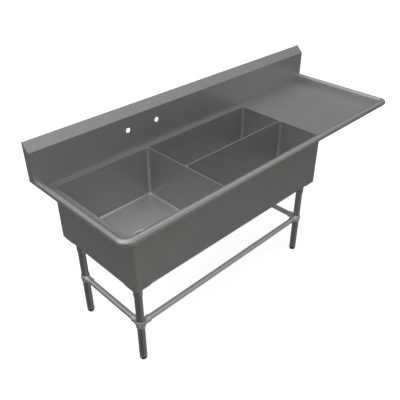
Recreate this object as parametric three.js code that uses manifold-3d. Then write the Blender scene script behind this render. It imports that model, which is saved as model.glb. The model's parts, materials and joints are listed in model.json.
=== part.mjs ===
// Three compartment sink with a boxed backsplash, a rolled rim and a drainboard on the right.
// Millimetres, +Z up. The origin is on the floor under the middle of the overall length and depth.
// Inside the assembly, X is measured from the left end, Y from the front of the rim, Z from the floor.
import * as THREE from "three";
import { mergeVertices } from "three/addons/utils/BufferGeometryUtils.js";
import Module from "manifold-3d";

const wasm = await Module();
wasm.setup();

// Overall sizes
const LENGTH = 2170;
const DEPTH = 754;
const RIM_HEIGHT = 914;
const SHEET = 2;
const GAP = 0.3;

// Rolled rim: a sheet upstand that curls outward over a round nose
const RIM_ABOVE_DECK = 57;
const ROLL_RADIUS = 19;
const ROLL_UNDERTUCK = 60;
const CORNER_RADIUS_LEFT = 45;
const CORNER_RADIUS_RIGHT = 22;

// Backsplash: a boxed sheet with a return that slopes back to the wall
const SPLASH_ABOVE_RIM = 198;
const SPLASH_BOX_DEPTH = 49;
const SPLASH_SLOPE_HEIGHT = 48;
const SPLASH_LIP = 25;
const END_PLATE_BELOW_RIM = 26;
const FAUCET_HOLE_RADIUS = 14.3;
const FAUCET_SPACING = 203.2;
const FAUCET_ABOVE_RIM = 72;
const FAUCET_FROM_LEFT = 686;

// Tub and its three bowls
const TUB_FROM_LEFT = 86;
const TUB_FROM_FRONT = 65;
const TUB_LENGTH = 1423;
const REAR_LEDGE = 26;
const BOWL_DEPTH = 305;
const LEFT_BOWL_LENGTH = 597;
const FRONT_BOWL_WIDTH = 296;
const DIVIDER = 6;
const BOWL_CORNER_RADIUS = 20;
const COVE_RADIUS = 18;
const FLOOR_FALL = 6;
const APRON_CORNER_RADIUS = 20;
const APRON_BELOW_FLOOR = 5;

// Drain fittings
const RECESS_RADIUS = 62;
const RECESS_DEPTH = 3;
const DRAIN_HOLE_RADIUS = 44.5;
const FLANGE_RADIUS = 57;
const FLANGE_RISE = 2.5;
const FLANGE_EDGE = 1;
const FLANGE_BEVEL = 3;
const CUP_RADIUS = 42;
const CUP_DEPTH = 55;
const CUP_WALL = 2.5;
const STRAINER_BELOW_FLANGE = 40;
const STRAINER_HOLE_RADIUS = 3;
const TAILPIECE_RADIUS = 24;
const TAILPIECE_WALL = 3.5;
const TAILPIECE_LENGTH = 33;
const GASKET_THICKNESS = 3;
const LOCKNUT_THICKNESS = 9;
const LOCKNUT_LUGS = 8;
const LOCKNUT_LUG_RISE = 5;

// Legs, feet and rails
const LEG_RADIUS = 20.65;
const LEG_WALL = 1.65;
const LEG_INSET_X = 56;
const LEG_INSET_Y = 64;
const SOCKET_LENGTH = 85;
const SOCKET_WALL = 3;
const PLATE_SIZE = 104;
const PLATE_THICKNESS = 3;
const FOOT_HEIGHT = 28;
const FOOT_SHOULDER = 6;
const FOOT_STEM_RADIUS = 6;
const FOOT_STEM_LENGTH = 58;
const INSERT_FLANGE = 4;
const INSERT_LENGTH = 36;
const RAIL_HEIGHT = 261;
const RAIL_RADIUS = 15.9;
const RAIL_WALL = 1.5;
const FITTING_WALL = 4;
const FITTING_HEIGHT = 44;
const FITTING_REACH = 56;
const FITTING_ROOT_WALL = 3;
const FITTING_MOUTH_WALL = 5;
const RAIL_START = 29;
const SCREW_RADIUS = 3;
const SCREW_LENGTH = 9;
const SCREW_FACETS = 12;

// Facets on a full turn
const ROUND = 20;
const CORNER_FACETS = 32;

// Drainboard
const CHANNEL_CROWN = 60;
const CHANNEL_FLANGE = 22;
const CHANNEL_HEIGHT = 25;
const CHANNEL_INSET = 190;

// Levels and places that follow from the sizes above
const deckTop = RIM_HEIGHT - RIM_ABOVE_DECK;
const deckUnder = deckTop - SHEET;
const splashFront = DEPTH - SPLASH_BOX_DEPTH;
const splashTop = RIM_HEIGHT + SPLASH_ABOVE_RIM;
const tubRight = TUB_FROM_LEFT + TUB_LENGTH;
const tubRear = splashFront - REAR_LEDGE;
const tubWall = 2 * SHEET + GAP;
const floorEdge = deckTop - BOWL_DEPTH;
const apronBottom = floorEdge - APRON_BELOW_FLOOR;
const recessTop = floorEdge - FLOOR_FALL;
const recessFloor = recessTop - RECESS_DEPTH;
const plateTop = apronBottom - GAP;
const plateUnder = plateTop - PLATE_THICKNESS;
const bowlsLeft = TUB_FROM_LEFT + tubWall;
const bowlsRight = tubRight - tubWall;
const bowlsFront = TUB_FROM_FRONT + tubWall;
const bowlsRear = tubRear - tubWall;
const legBottom = FOOT_HEIGHT + INSERT_FLANGE + 2 * GAP;
const LEGS = {
  front_left: { x: TUB_FROM_LEFT + LEG_INSET_X, y: TUB_FROM_FRONT + LEG_INSET_Y, sx: 1, sy: 1 },
  front_right: { x: tubRight - LEG_INSET_X, y: TUB_FROM_FRONT + LEG_INSET_Y, sx: -1, sy: 1 },
  rear_left: { x: TUB_FROM_LEFT + LEG_INSET_X, y: tubRear - LEG_INSET_Y, sx: 1, sy: -1 },
  rear_right: { x: tubRight - LEG_INSET_X, y: tubRear - LEG_INSET_Y, sx: -1, sy: -1 },
};
const BOWLS = {
  left: { x0: bowlsLeft, x1: bowlsLeft + LEFT_BOWL_LENGTH, y0: bowlsFront, y1: bowlsRear },
  front_right: {
    x0: bowlsLeft + LEFT_BOWL_LENGTH + DIVIDER,
    x1: bowlsRight,
    y0: bowlsFront,
    y1: bowlsFront + FRONT_BOWL_WIDTH,
  },
  rear_right: {
    x0: bowlsLeft + LEFT_BOWL_LENGTH + DIVIDER,
    x1: bowlsRight,
    y0: bowlsFront + FRONT_BOWL_WIDTH + DIVIDER,
    y1: bowlsRear,
  },
};

// Finishes
const steel = () => new THREE.MeshStandardMaterial({ color: 0x7b7c78, roughness: 0.3, metalness: 1 });
const castMetal = () => new THREE.MeshStandardMaterial({ color: 0x8a8a84, roughness: 0.45, metalness: 1 });
const blackPlastic = () => new THREE.MeshStandardMaterial({ color: 0x232323, roughness: 0.55, metalness: 0 });
const blackRubber = () => new THREE.MeshStandardMaterial({ color: 0x1c1c1c, roughness: 0.9, metalness: 0 });
const zincPlate = () => new THREE.MeshStandardMaterial({ color: 0x9b9c9a, roughness: 0.4, metalness: 1 });

const assembly = new THREE.Group();
assembly.position.set(-LENGTH / 2, -DEPTH / 2, 0);

function add(name, geometry, material) {
  const mesh = new THREE.Mesh(geometry, material);
  mesh.name = name;
  assembly.add(mesh);
}

// A closed geometry as a manifold solid, and back again.
function solid(geometry) {
  const bare = geometry.clone();
  bare.deleteAttribute("normal");
  bare.deleteAttribute("uv");
  const merged = mergeVertices(bare, 1e-4);
  return new wasm.Manifold(
    new wasm.Mesh({
      numProp: 3,
      vertProperties: merged.attributes.position.array,
      triVerts: new Uint32Array(merged.index.array),
    }),
  );
}

function geometryOf(body) {
  const mesh = body.getMesh();
  const geometry = new THREE.BufferGeometry();
  geometry.setAttribute("position", new THREE.BufferAttribute(mesh.vertProperties, 3));
  geometry.setIndex(new THREE.BufferAttribute(mesh.triVerts, 1));
  return geometry;
}

// Profile laid in the plane of u (its x) and v (its y), pushed along u cross v from the origin given.
function extrude(shape, origin, u, v, length) {
  const geometry = new THREE.ExtrudeGeometry(shape, {
    depth: length,
    bevelEnabled: false,
  });
  const along = new THREE.Vector3().crossVectors(u, v);
  const frame = new THREE.Matrix4().makeBasis(u, v, along).setPosition(origin);
  return geometry.applyMatrix4(frame);
}

const AXIS_X = new THREE.Vector3(1, 0, 0);
const AXIS_Y = new THREE.Vector3(0, 1, 0);
const AXIS_Z = new THREE.Vector3(0, 0, 1);
const opposite = (axis) => axis.clone().negate();

function plate(shape, bottom, thickness) {
  return extrude(shape, new THREE.Vector3(0, 0, bottom), AXIS_X, AXIS_Y, thickness);
}

function box(x0, x1, y0, y1, z0, z1) {
  const geometry = new THREE.BoxGeometry(x1 - x0, y1 - y0, z1 - z0);
  return geometry.translate((x0 + x1) / 2, (y0 + y1) / 2, (z0 + z1) / 2);
}

// Turned body about a vertical axis at x, y; points are radius and height.
function turned(points, x, y, z, segments) {
  const outline = points.map(([r, h]) => new THREE.Vector2(r, h));
  const geometry = new THREE.LatheGeometry(outline, segments);
  return geometry.rotateX(Math.PI / 2).translate(x, y, z);
}

function cylinder(radius, length, x, y, z, segments) {
  const geometry = new THREE.CylinderGeometry(radius, radius, length, segments);
  return geometry.rotateX(Math.PI / 2).translate(x, y, z + length / 2);
}

// A taper along X from a start radius to an end radius, or along Y when turned a quarter.
function taper(startRadius, endRadius, start, end, segments) {
  const geometry = new THREE.CylinderGeometry(endRadius, startRadius, end - start, segments);
  return geometry.rotateZ(-Math.PI / 2).translate((start + end) / 2, 0, 0);
}

function circle(cx, cy, radius, count) {
  return Array.from({ length: count }, (_, i) => {
    const angle = (2 * Math.PI * i) / count;
    return new THREE.Vector2(cx + radius * Math.cos(angle), cy + radius * Math.sin(angle));
  });
}

function pipeShape(outer, inner) {
  const shape = new THREE.Shape(circle(0, 0, outer, ROUND));
  shape.holes.push(new THREE.Path(circle(0, 0, inner, ROUND)));
  return shape;
}

const CORNER_STEPS = 4;

// Points of a rounded rectangle, counter-clockwise from the corner at x1, y0. Radii go with the
// corners in that order, and one number serves all four.
function roundedRectangle(x0, x1, y0, y1, radii) {
  const r = Array.isArray(radii) ? radii : [radii, radii, radii, radii];
  const corners = [
    [x1 - r[0], y0 + r[0]],
    [x1 - r[1], y1 - r[1]],
    [x0 + r[2], y1 - r[2]],
    [x0 + r[3], y0 + r[3]],
  ];
  return corners.flatMap(([cx, cy], k) =>
    Array.from({ length: CORNER_STEPS + 1 }, (_, j) => {
      const angle = ((k - 1) * Math.PI) / 2 + (j / CORNER_STEPS) * (Math.PI / 2);
      return new THREE.Vector2(cx + r[k] * Math.cos(angle), cy + r[k] * Math.sin(angle));
    }),
  );
}

// A circle with as many points as a rounded rectangle, spread so that the two can be joined.
function circleRing(cx, cy, radius) {
  const count = 4 * (CORNER_STEPS + 1);
  return Array.from({ length: count }, (_, i) => {
    const angle = -Math.PI / 2 + ((i + 0.5) / count) * 2 * Math.PI;
    return new THREE.Vector2(cx + radius * Math.cos(angle), cy + radius * Math.sin(angle));
  });
}

// Closes a loop of equal rings, each with its height, into one skin.
function skinOf(rings) {
  const count = rings[0].points.length;
  const positions = rings.flatMap((ring) => ring.points.flatMap((p) => [p.x, p.y, ring.z]));
  const index = [];
  rings.forEach((_, a) => {
    const b = (a + 1) % rings.length;
    for (let i = 0; i < count; i += 1) {
      const j = (i + 1) % count;
      index.push(a * count + i, a * count + j, b * count + j);
      index.push(a * count + i, b * count + j, b * count + i);
    }
  });
  const geometry = new THREE.BufferGeometry();
  geometry.setAttribute("position", new THREE.Float32BufferAttribute(positions, 3));
  geometry.setIndex(index);
  return geometry;
}

// Offsets an open line of points by one thickness to its left and closes it into a sheet section.
function foldedSheet(points, thickness) {
  const path = points.map(([x, y]) => new THREE.Vector2(x, y));
  const normals = path.slice(1).map((p, i) => {
    const along = p.clone().sub(path[i]).normalize();
    return new THREE.Vector2(-along.y, along.x);
  });
  const inner = path.map((p, i) => {
    const before = normals[Math.max(i - 1, 0)];
    const after = normals[Math.min(i, normals.length - 1)];
    const mitre = before.clone().add(after).normalize();
    return p.clone().addScaledVector(mitre, thickness / mitre.dot(after));
  });
  return new THREE.Shape([...path, ...inner.reverse()]);
}

// --- Bowls: coved shells, with the floor creased down to a recess around the drain hole ---

function drainPlace(bowl) {
  return { x: (bowl.x0 + bowl.x1) / 2, y: (bowl.y0 + bowl.y1) / 2 };
}

function bowlFace(bowl, out) {
  const wall = (inset) =>
    roundedRectangle(
      bowl.x0 - out + inset,
      bowl.x1 + out - inset,
      bowl.y0 - out + inset,
      bowl.y1 + out - inset,
      BOWL_CORNER_RADIUS + out - inset,
    );
  const drain = drainPlace(bowl);
  const rings = [{ points: wall(0), z: deckUnder - GAP }];
  const coveSteps = 3;
  for (let i = 0; i <= coveSteps; i += 1) {
    const angle = (i / coveSteps) * (Math.PI / 2);
    const radius = COVE_RADIUS + out;
    rings.push({
      points: wall(radius * (1 - Math.cos(angle))),
      z: floorEdge + COVE_RADIUS - radius * Math.sin(angle),
    });
  }
  rings.push({ points: circleRing(drain.x, drain.y, RECESS_RADIUS), z: recessTop - out });
  rings.push({
    points: circleRing(drain.x, drain.y, RECESS_RADIUS - RECESS_DEPTH),
    z: recessFloor - out,
  });
  rings.push({ points: circleRing(drain.x, drain.y, DRAIN_HOLE_RADIUS), z: recessFloor - out });
  return rings;
}

for (const [name, bowl] of Object.entries(BOWLS)) {
  const rings = [...bowlFace(bowl, 0), ...bowlFace(bowl, SHEET).reverse()];
  add("bowl_" + name, skinOf(rings), steel());
}

// --- Cap over the double walls between the bowls: a long bar with one bar standing on it ---

function bowlOpening(bowl) {
  return new THREE.Shape(roundedRectangle(bowl.x0, bowl.x1, bowl.y0, bowl.y1, BOWL_CORNER_RADIUS));
}

const tubOpening = (clearance) =>
  roundedRectangle(
    bowlsLeft + clearance,
    bowlsRight - clearance,
    bowlsFront + clearance,
    bowlsRear - clearance,
    BOWL_CORNER_RADIUS - clearance,
  );

let cap = solid(plate(new THREE.Shape(tubOpening(GAP)), deckUnder, SHEET));
for (const bowl of Object.values(BOWLS)) {
  cap = cap.subtract(solid(plate(bowlOpening(bowl), deckUnder - SHEET, 3 * SHEET)));
}
add("divider_cap", geometryOf(cap), steel());

// --- Deck around the bowls, and the drainboard beside them ---

const basinLeft = 2 * ROLL_RADIUS - SHEET;
const basinRight = LENGTH - basinLeft;
const basinFront = basinLeft;
const seam = tubRight + SHEET;
const innerCornerLeft = CORNER_RADIUS_LEFT - ROLL_RADIUS + SHEET;
const innerCornerRight = CORNER_RADIUS_RIGHT - ROLL_RADIUS + SHEET;
// A corner left square still needs a radius, so that both outlines have as many points.
const square = 0.01;

const deckShape = new THREE.Shape(
  roundedRectangle(basinLeft, seam, basinFront, splashFront - GAP, [
    square,
    square,
    square,
    innerCornerLeft,
  ]),
);
deckShape.holes.push(new THREE.Path(tubOpening(0)));
add("deck_frame", plate(deckShape, deckUnder, SHEET), steel());

const drainboardShape = new THREE.Shape(
  roundedRectangle(seam + GAP, basinRight, basinFront, splashFront - GAP, [
    innerCornerRight,
    square,
    square,
    square,
  ]),
);
add("drainboard", plate(drainboardShape, deckUnder, SHEET), steel());

// Hat channels that stiffen the drainboard, from the tub to the far rim.
const channelSection = foldedSheet(
  [
    [-CHANNEL_CROWN / 2 - CHANNEL_FLANGE, 0],
    [-CHANNEL_CROWN / 2, 0],
    [-CHANNEL_CROWN / 2 + SHEET, -CHANNEL_HEIGHT],
    [CHANNEL_CROWN / 2 - SHEET, -CHANNEL_HEIGHT],
    [CHANNEL_CROWN / 2, 0],
    [CHANNEL_CROWN / 2 + CHANNEL_FLANGE, 0],
  ],
  -SHEET,
);
const channelStart = tubRight + 2 * SHEET;
for (const [name, y] of [
  ["front", CHANNEL_INSET],
  ["rear", splashFront - CHANNEL_INSET],
]) {
  const origin = new THREE.Vector3(channelStart, y, deckUnder - GAP);
  const length = basinRight - SHEET - channelStart;
  add("drainboard_channel_" + name, extrude(channelSection, origin, AXIS_Y, AXIS_Z, length), steel());
}

// --- Rolled rim ---

// Section of the rim: x grows outward from its basin side, y upward from the deck.
function rimOutline() {
  const steps = 8;
  const centreHeight = RIM_ABOVE_DECK - ROLL_RADIUS;
  const sweep = Math.PI + (ROLL_UNDERTUCK * Math.PI) / 180;
  const arc = (radius) =>
    Array.from({ length: steps + 1 }, (_, i) => {
      const angle = Math.PI - (i / steps) * sweep;
      return new THREE.Vector2(
        ROLL_RADIUS + radius * Math.cos(angle),
        centreHeight + radius * Math.sin(angle),
      );
    });
  return [
    new THREE.Vector2(0, GAP),
    ...arc(ROLL_RADIUS),
    ...arc(ROLL_RADIUS - SHEET).reverse(),
    new THREE.Vector2(SHEET, GAP),
  ];
}

const rimShape = new THREE.Shape(rimOutline());
const rimInset = 2 * ROLL_RADIUS;
const leftTurn = CORNER_RADIUS_LEFT + ROLL_RADIUS;
const rightTurn = CORNER_RADIUS_RIGHT + ROLL_RADIUS;

add(
  "rim_left",
  extrude(
    rimShape,
    new THREE.Vector3(rimInset, leftTurn + GAP, deckTop),
    opposite(AXIS_X),
    AXIS_Z,
    splashFront - leftTurn - 2 * GAP,
  ),
  steel(),
);
add(
  "rim_front",
  extrude(
    rimShape,
    new THREE.Vector3(LENGTH - rightTurn - GAP, rimInset, deckTop),
    opposite(AXIS_Y),
    AXIS_Z,
    LENGTH - rightTurn - leftTurn - 2 * GAP,
  ),
  steel(),
);
add(
  "rim_right",
  extrude(
    rimShape,
    new THREE.Vector3(LENGTH - rimInset, splashFront - GAP, deckTop),
    AXIS_X,
    AXIS_Z,
    splashFront - rightTurn - 2 * GAP,
  ),
  steel(),
);

// A quarter of the rim turned about the corner's own centre.
function rimCorner(radius, centreX, side) {
  const basinRadius = radius - ROLL_RADIUS;
  const closed = rimOutline().reverse().map((p) => [basinRadius + p.x, p.y]);
  const ring = solid(turned([...closed, closed[0]], centreX, radius + ROLL_RADIUS, deckTop, CORNER_FACETS));
  const reach = radius + 2 * ROLL_RADIUS;
  const x0 = side < 0 ? centreX - reach : centreX;
  const quarter = box(x0, x0 + reach, -ROLL_RADIUS, radius + ROLL_RADIUS, deckUnder, splashTop);
  return geometryOf(ring.intersect(solid(quarter)));
}
add("rim_corner_left", rimCorner(CORNER_RADIUS_LEFT, leftTurn, -1), steel());
add("rim_corner_right", rimCorner(CORNER_RADIUS_RIGHT, LENGTH - rightTurn, 1), steel());

// --- Backsplash ---

const slopeFoot = splashTop - SPLASH_SLOPE_HEIGHT;
const endPlateBottom = RIM_HEIGHT - END_PLATE_BELOW_RIM;
const splashSection = foldedSheet(
  [
    [splashFront, deckUnder],
    [splashFront, slopeFoot],
    [DEPTH, splashTop],
    [DEPTH, splashTop - SPLASH_LIP],
  ],
  -SHEET,
);
const panelStart = SHEET + GAP;
let panel = solid(
  extrude(
    splashSection,
    new THREE.Vector3(panelStart, 0, 0),
    AXIS_Y,
    AXIS_Z,
    LENGTH - 2 * panelStart,
  ),
);
for (const side of [-1, 1]) {
  const hole = cylinder(FAUCET_HOLE_RADIUS, 4 * SHEET, 0, 0, 0, ROUND);
  hole.rotateX(-Math.PI / 2);
  hole.translate(
    FAUCET_FROM_LEFT + (side * FAUCET_SPACING) / 2,
    splashFront - SHEET,
    RIM_HEIGHT + FAUCET_ABOVE_RIM,
  );
  panel = panel.subtract(solid(hole));
}
// Below the end plates the sheet runs only between the two end rims.
for (const [x0, x1] of [
  [0, rimInset],
  [LENGTH - rimInset, LENGTH],
]) {
  const notch = box(x0, x1, splashFront - SHEET, DEPTH, deckUnder - SHEET, endPlateBottom);
  panel = panel.subtract(solid(notch));
}
add("backsplash_panel", geometryOf(panel), steel());

const endPlateShape = new THREE.Shape([
  new THREE.Vector2(splashFront, endPlateBottom),
  new THREE.Vector2(DEPTH, endPlateBottom),
  new THREE.Vector2(DEPTH, splashTop),
  new THREE.Vector2(splashFront, slopeFoot),
]);
for (const [name, x] of [
  ["left", 0],
  ["right", LENGTH - SHEET],
]) {
  const origin = new THREE.Vector3(x, 0, 0);
  add("backsplash_end_" + name, extrude(endPlateShape, origin, AXIS_Y, AXIS_Z, SHEET), steel());
}

// --- Apron: one sheet round the front and both ends of the tub, and a panel at the rear ---

const apronHeight = deckUnder - GAP - apronBottom;
function apronShape() {
  const out = roundedRectangle(TUB_FROM_LEFT, tubRight, TUB_FROM_FRONT, 2 * tubRear, APRON_CORNER_RADIUS);
  const inn = roundedRectangle(
    TUB_FROM_LEFT + SHEET,
    tubRight - SHEET,
    TUB_FROM_FRONT + SHEET,
    2 * tubRear,
    APRON_CORNER_RADIUS - SHEET,
  );
  const frontArcs = (ring) => [
    ...ring.slice(3 * (CORNER_STEPS + 1)),
    ...ring.slice(0, CORNER_STEPS + 1),
  ];
  const rear = tubRear - SHEET - GAP;
  const end = (x) => new THREE.Vector2(x, rear);
  return new THREE.Shape([
    end(TUB_FROM_LEFT),
    ...frontArcs(out),
    end(tubRight),
    end(tubRight - SHEET),
    ...frontArcs(inn).reverse(),
    end(TUB_FROM_LEFT + SHEET),
  ]);
}
add("apron", plate(apronShape(), apronBottom, apronHeight), steel());
add(
  "apron_rear",
  box(TUB_FROM_LEFT, tubRight, tubRear - SHEET, tubRear, apronBottom, apronBottom + apronHeight),
  steel(),
);

// --- Drain fittings ---

function drainFlange(x, y) {
  const wall = CUP_RADIUS - CUP_WALL;
  const floor = -CUP_DEPTH;
  const spigot = TAILPIECE_RADIUS - TAILPIECE_WALL;
  return turned(
    [
      [CUP_RADIUS, 0],
      [FLANGE_RADIUS, 0],
      [FLANGE_RADIUS, FLANGE_EDGE],
      [FLANGE_RADIUS - FLANGE_BEVEL, FLANGE_RISE],
      [CUP_RADIUS + FLANGE_EDGE, FLANGE_RISE],
      [wall, 0],
      [wall, -STRAINER_BELOW_FLANGE],
      [wall - CUP_WALL, -STRAINER_BELOW_FLANGE],
      [wall - CUP_WALL, floor],
      [spigot, floor - CUP_WALL],
      [spigot, floor - CUP_WALL - TAILPIECE_LENGTH],
      [TAILPIECE_RADIUS, floor - CUP_WALL - TAILPIECE_LENGTH],
      [TAILPIECE_RADIUS, floor - 2 * CUP_WALL],
      [CUP_RADIUS, floor],
      [CUP_RADIUS, 0],
    ],
    x,
    y,
    recessFloor + GAP,
    ROUND,
  );
}

function drainStrainer(x, y) {
  const radius = CUP_RADIUS - CUP_WALL - GAP;
  const disc = new THREE.Shape(circle(0, 0, radius, ROUND));
  for (const [ring, count] of [
    [0, 1],
    [12, 6],
    [24, 12],
  ]) {
    for (let i = 0; i < count; i += 1) {
      const angle = (2 * Math.PI * i) / count;
      const hole = circle(ring * Math.cos(angle), ring * Math.sin(angle), STRAINER_HOLE_RADIUS, 6);
      disc.holes.push(new THREE.Path(hole));
    }
  }
  const bottom = recessFloor - STRAINER_BELOW_FLANGE + 2 * GAP;
  return extrude(disc, new THREE.Vector3(x, y, bottom), AXIS_X, AXIS_Y, SHEET - GAP);
}

function drainLocknut(x, y) {
  const outline = Array.from({ length: LOCKNUT_LUGS * 4 }, (_, i) => {
    const radius = i % 4 < 2 ? FLANGE_RADIUS : FLANGE_RADIUS - LOCKNUT_LUG_RISE;
    const angle = (2 * Math.PI * i) / (LOCKNUT_LUGS * 4);
    return new THREE.Vector2(radius * Math.cos(angle), radius * Math.sin(angle));
  });
  const shape = new THREE.Shape(outline);
  shape.holes.push(new THREE.Path(circle(0, 0, CUP_RADIUS + GAP, ROUND)));
  const top = recessFloor - SHEET - GASKET_THICKNESS - 2 * GAP;
  const origin = new THREE.Vector3(x, y, top - LOCKNUT_THICKNESS);
  return extrude(shape, origin, AXIS_X, AXIS_Y, LOCKNUT_THICKNESS);
}

for (const [name, bowl] of Object.entries(BOWLS)) {
  const { x, y } = drainPlace(bowl);
  const gasket = pipeShape(FLANGE_RADIUS - FLANGE_BEVEL, CUP_RADIUS + GAP);
  const gasketBottom = recessFloor - SHEET - GAP - GASKET_THICKNESS;
  add("drain_flange_" + name, drainFlange(x, y), steel());
  add("drain_strainer_" + name, drainStrainer(x, y), steel());
  add(
    "drain_gasket_" + name,
    extrude(gasket, new THREE.Vector3(x, y, gasketBottom), AXIS_X, AXIS_Y, GASKET_THICKNESS),
    blackRubber(),
  );
  add("drain_locknut_" + name, drainLocknut(x, y), castMetal());
}

// --- Legs: plate and socket, tube, insert and adjustable foot ---

function legSocket({ x, y, sx, sy }) {
  const outer = LEG_RADIUS + GAP + SOCKET_WALL;
  const cornerX = x - sx * LEG_INSET_X;
  const cornerY = y - sy * LEG_INSET_Y;
  const [x0, x1] = sx > 0 ? [cornerX, cornerX + PLATE_SIZE] : [cornerX - PLATE_SIZE, cornerX];
  const [y0, y1] = sy > 0 ? [cornerY, cornerY + PLATE_SIZE] : [cornerY - PLATE_SIZE, cornerY];
  const outline = new THREE.Shape(roundedRectangle(x0, x1, y0, y1, APRON_CORNER_RADIUS));
  const flat = solid(plate(outline, plateUnder, PLATE_THICKNESS));
  const sleeve = solid(cylinder(outer, SOCKET_LENGTH + 1, x, y, plateUnder - SOCKET_LENGTH, ROUND));
  const bore = solid(
    cylinder(LEG_RADIUS + GAP, SOCKET_LENGTH + 1, x, y, plateUnder - SOCKET_LENGTH - 1, ROUND),
  );
  return geometryOf(flat.add(sleeve).subtract(bore));
}

function foot(x, y) {
  const steps = 4;
  const dome = Array.from({ length: steps + 1 }, (_, i) => {
    const angle = (i / steps) * (Math.PI / 2);
    return [
      LEG_RADIUS / 2 + (LEG_RADIUS / 2) * Math.sin(angle),
      (FOOT_HEIGHT - FOOT_SHOULDER) * (1 - Math.cos(angle)),
    ];
  });
  return turned(
    [
      [0, 0],
      ...dome,
      [LEG_RADIUS, FOOT_HEIGHT],
      [FOOT_STEM_RADIUS, FOOT_HEIGHT],
      [FOOT_STEM_RADIUS, FOOT_HEIGHT + FOOT_STEM_LENGTH],
      [0, FOOT_HEIGHT + FOOT_STEM_LENGTH],
    ],
    x,
    y,
    0,
    ROUND,
  );
}

function footInsert(x, y) {
  const plug = LEG_RADIUS - LEG_WALL - GAP;
  const bore = FOOT_STEM_RADIUS + GAP;
  return turned(
    [
      [bore, 0],
      [LEG_RADIUS, 0],
      [LEG_RADIUS, INSERT_FLANGE],
      [plug, INSERT_FLANGE],
      [plug, INSERT_LENGTH],
      [bore, INSERT_LENGTH],
      [bore, 0],
    ],
    x,
    y,
    FOOT_HEIGHT + GAP,
    ROUND,
  );
}

for (const [name, leg] of Object.entries(LEGS)) {
  const { x, y } = leg;
  const tube = pipeShape(LEG_RADIUS, LEG_RADIUS - LEG_WALL);
  const length = plateUnder - GAP - legBottom;
  add("leg_socket_" + name, legSocket(leg), steel());
  add("leg_" + name, extrude(tube, new THREE.Vector3(x, y, legBottom), AXIS_X, AXIS_Y, length), steel());
  add("foot_insert_" + name, footInsert(x, y), castMetal());
  add("foot_" + name, foot(x, y), blackPlastic());
}

// --- Cross rails and the cast fittings that clamp them to the legs ---

// Sockets of a fitting, as quarter turns from +X: the rear legs have no rail between them.
const SOCKET_TURNS = {
  front_left: [0, 1],
  front_right: [2, 1],
  rear_left: [3],
  rear_right: [3],
};
const collarRadius = LEG_RADIUS + GAP + FITTING_WALL;

// The clamp screw points away from the rails, at 45 degrees.
function screwAngle({ sx, sy }) {
  return Math.atan2(-sy, -sx);
}

function radialPin(radius, from, to, angle, segments) {
  return taper(radius, radius, from, to, segments).rotateZ(angle);
}

function fitting(name, leg) {
  let body = solid(cylinder(collarRadius, FITTING_HEIGHT, 0, 0, -FITTING_HEIGHT / 2, ROUND));
  const bores = [solid(cylinder(LEG_RADIUS + GAP, 2 * FITTING_HEIGHT, 0, 0, -FITTING_HEIGHT, ROUND))];
  for (const turn of SOCKET_TURNS[name]) {
    const angle = (turn * Math.PI) / 2;
    const root = RAIL_RADIUS + FITTING_ROOT_WALL;
    const mouth = RAIL_RADIUS + FITTING_MOUTH_WALL;
    const sleeve = taper(root, mouth, LEG_RADIUS, FITTING_REACH, ROUND);
    const bore = taper(RAIL_RADIUS + GAP, RAIL_RADIUS + GAP, RAIL_START - 1, FITTING_REACH + 1, ROUND);
    body = body.add(solid(sleeve.rotateZ(angle)));
    bores.push(solid(bore.rotateZ(angle)));
  }
  bores.push(solid(radialPin(SCREW_RADIUS + GAP, LEG_RADIUS, collarRadius + 1, screwAngle(leg), SCREW_FACETS)));
  for (const bore of bores) body = body.subtract(bore);
  return geometryOf(body).translate(leg.x, leg.y, RAIL_HEIGHT);
}

for (const [name, leg] of Object.entries(LEGS)) {
  const tip = LEG_RADIUS + 2 * GAP;
  const screw = radialPin(SCREW_RADIUS, tip, tip + SCREW_LENGTH, screwAngle(leg), SCREW_FACETS);
  add("rail_fitting_" + name, fitting(name, leg), castMetal());
  add("fitting_screw_" + name, screw.translate(leg.x, leg.y, RAIL_HEIGHT), zincPlate());
}

const railShape = pipeShape(RAIL_RADIUS, RAIL_RADIUS - RAIL_WALL);
function rail(name, from, to, u, v) {
  const along = new THREE.Vector3().crossVectors(u, v);
  const origin = new THREE.Vector3(from.x, from.y, RAIL_HEIGHT).addScaledVector(along, RAIL_START);
  const span = Math.abs(to.x - from.x) + Math.abs(to.y - from.y);
  add(name, extrude(railShape, origin, u, v, span - 2 * RAIL_START), steel());
}
rail("rail_front", LEGS.front_left, LEGS.front_right, AXIS_Y, AXIS_Z);
rail("rail_left", LEGS.front_left, LEGS.rear_left, AXIS_Z, AXIS_X);
rail("rail_right", LEGS.front_right, LEGS.rear_right, AXIS_Z, AXIS_X);

const sink = new THREE.Group();
sink.add(assembly);
export default sink;
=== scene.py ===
"""A three compartment sink in brushed stainless steel, built round its own frame of bodies and nodes."""

import json
import math
from collections import namedtuple

import bmesh
import bpy
from bpy.props import FloatProperty, FloatVectorProperty, IntProperty, PointerProperty
from mathutils import Matrix, Vector
from mathutils.geometry import tessellate_polygon


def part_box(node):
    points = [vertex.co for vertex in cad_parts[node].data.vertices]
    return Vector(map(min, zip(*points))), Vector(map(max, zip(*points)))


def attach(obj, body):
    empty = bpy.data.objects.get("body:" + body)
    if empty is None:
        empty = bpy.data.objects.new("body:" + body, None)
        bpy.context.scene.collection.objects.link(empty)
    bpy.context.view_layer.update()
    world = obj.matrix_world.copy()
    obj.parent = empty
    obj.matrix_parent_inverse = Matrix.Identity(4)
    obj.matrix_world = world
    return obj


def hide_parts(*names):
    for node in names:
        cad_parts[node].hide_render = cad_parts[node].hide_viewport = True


bl_info = {
    "name": "Three Compartment Sink",
    "version": (1, 0, 0),
    "blender": (4, 5, 0),
    "location": "View3D > Sidebar > Sink",
    "description": "Makes the finished pieces of a commercial sink with a backsplash and a drainboard",
    "category": "Add Mesh",
}

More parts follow.
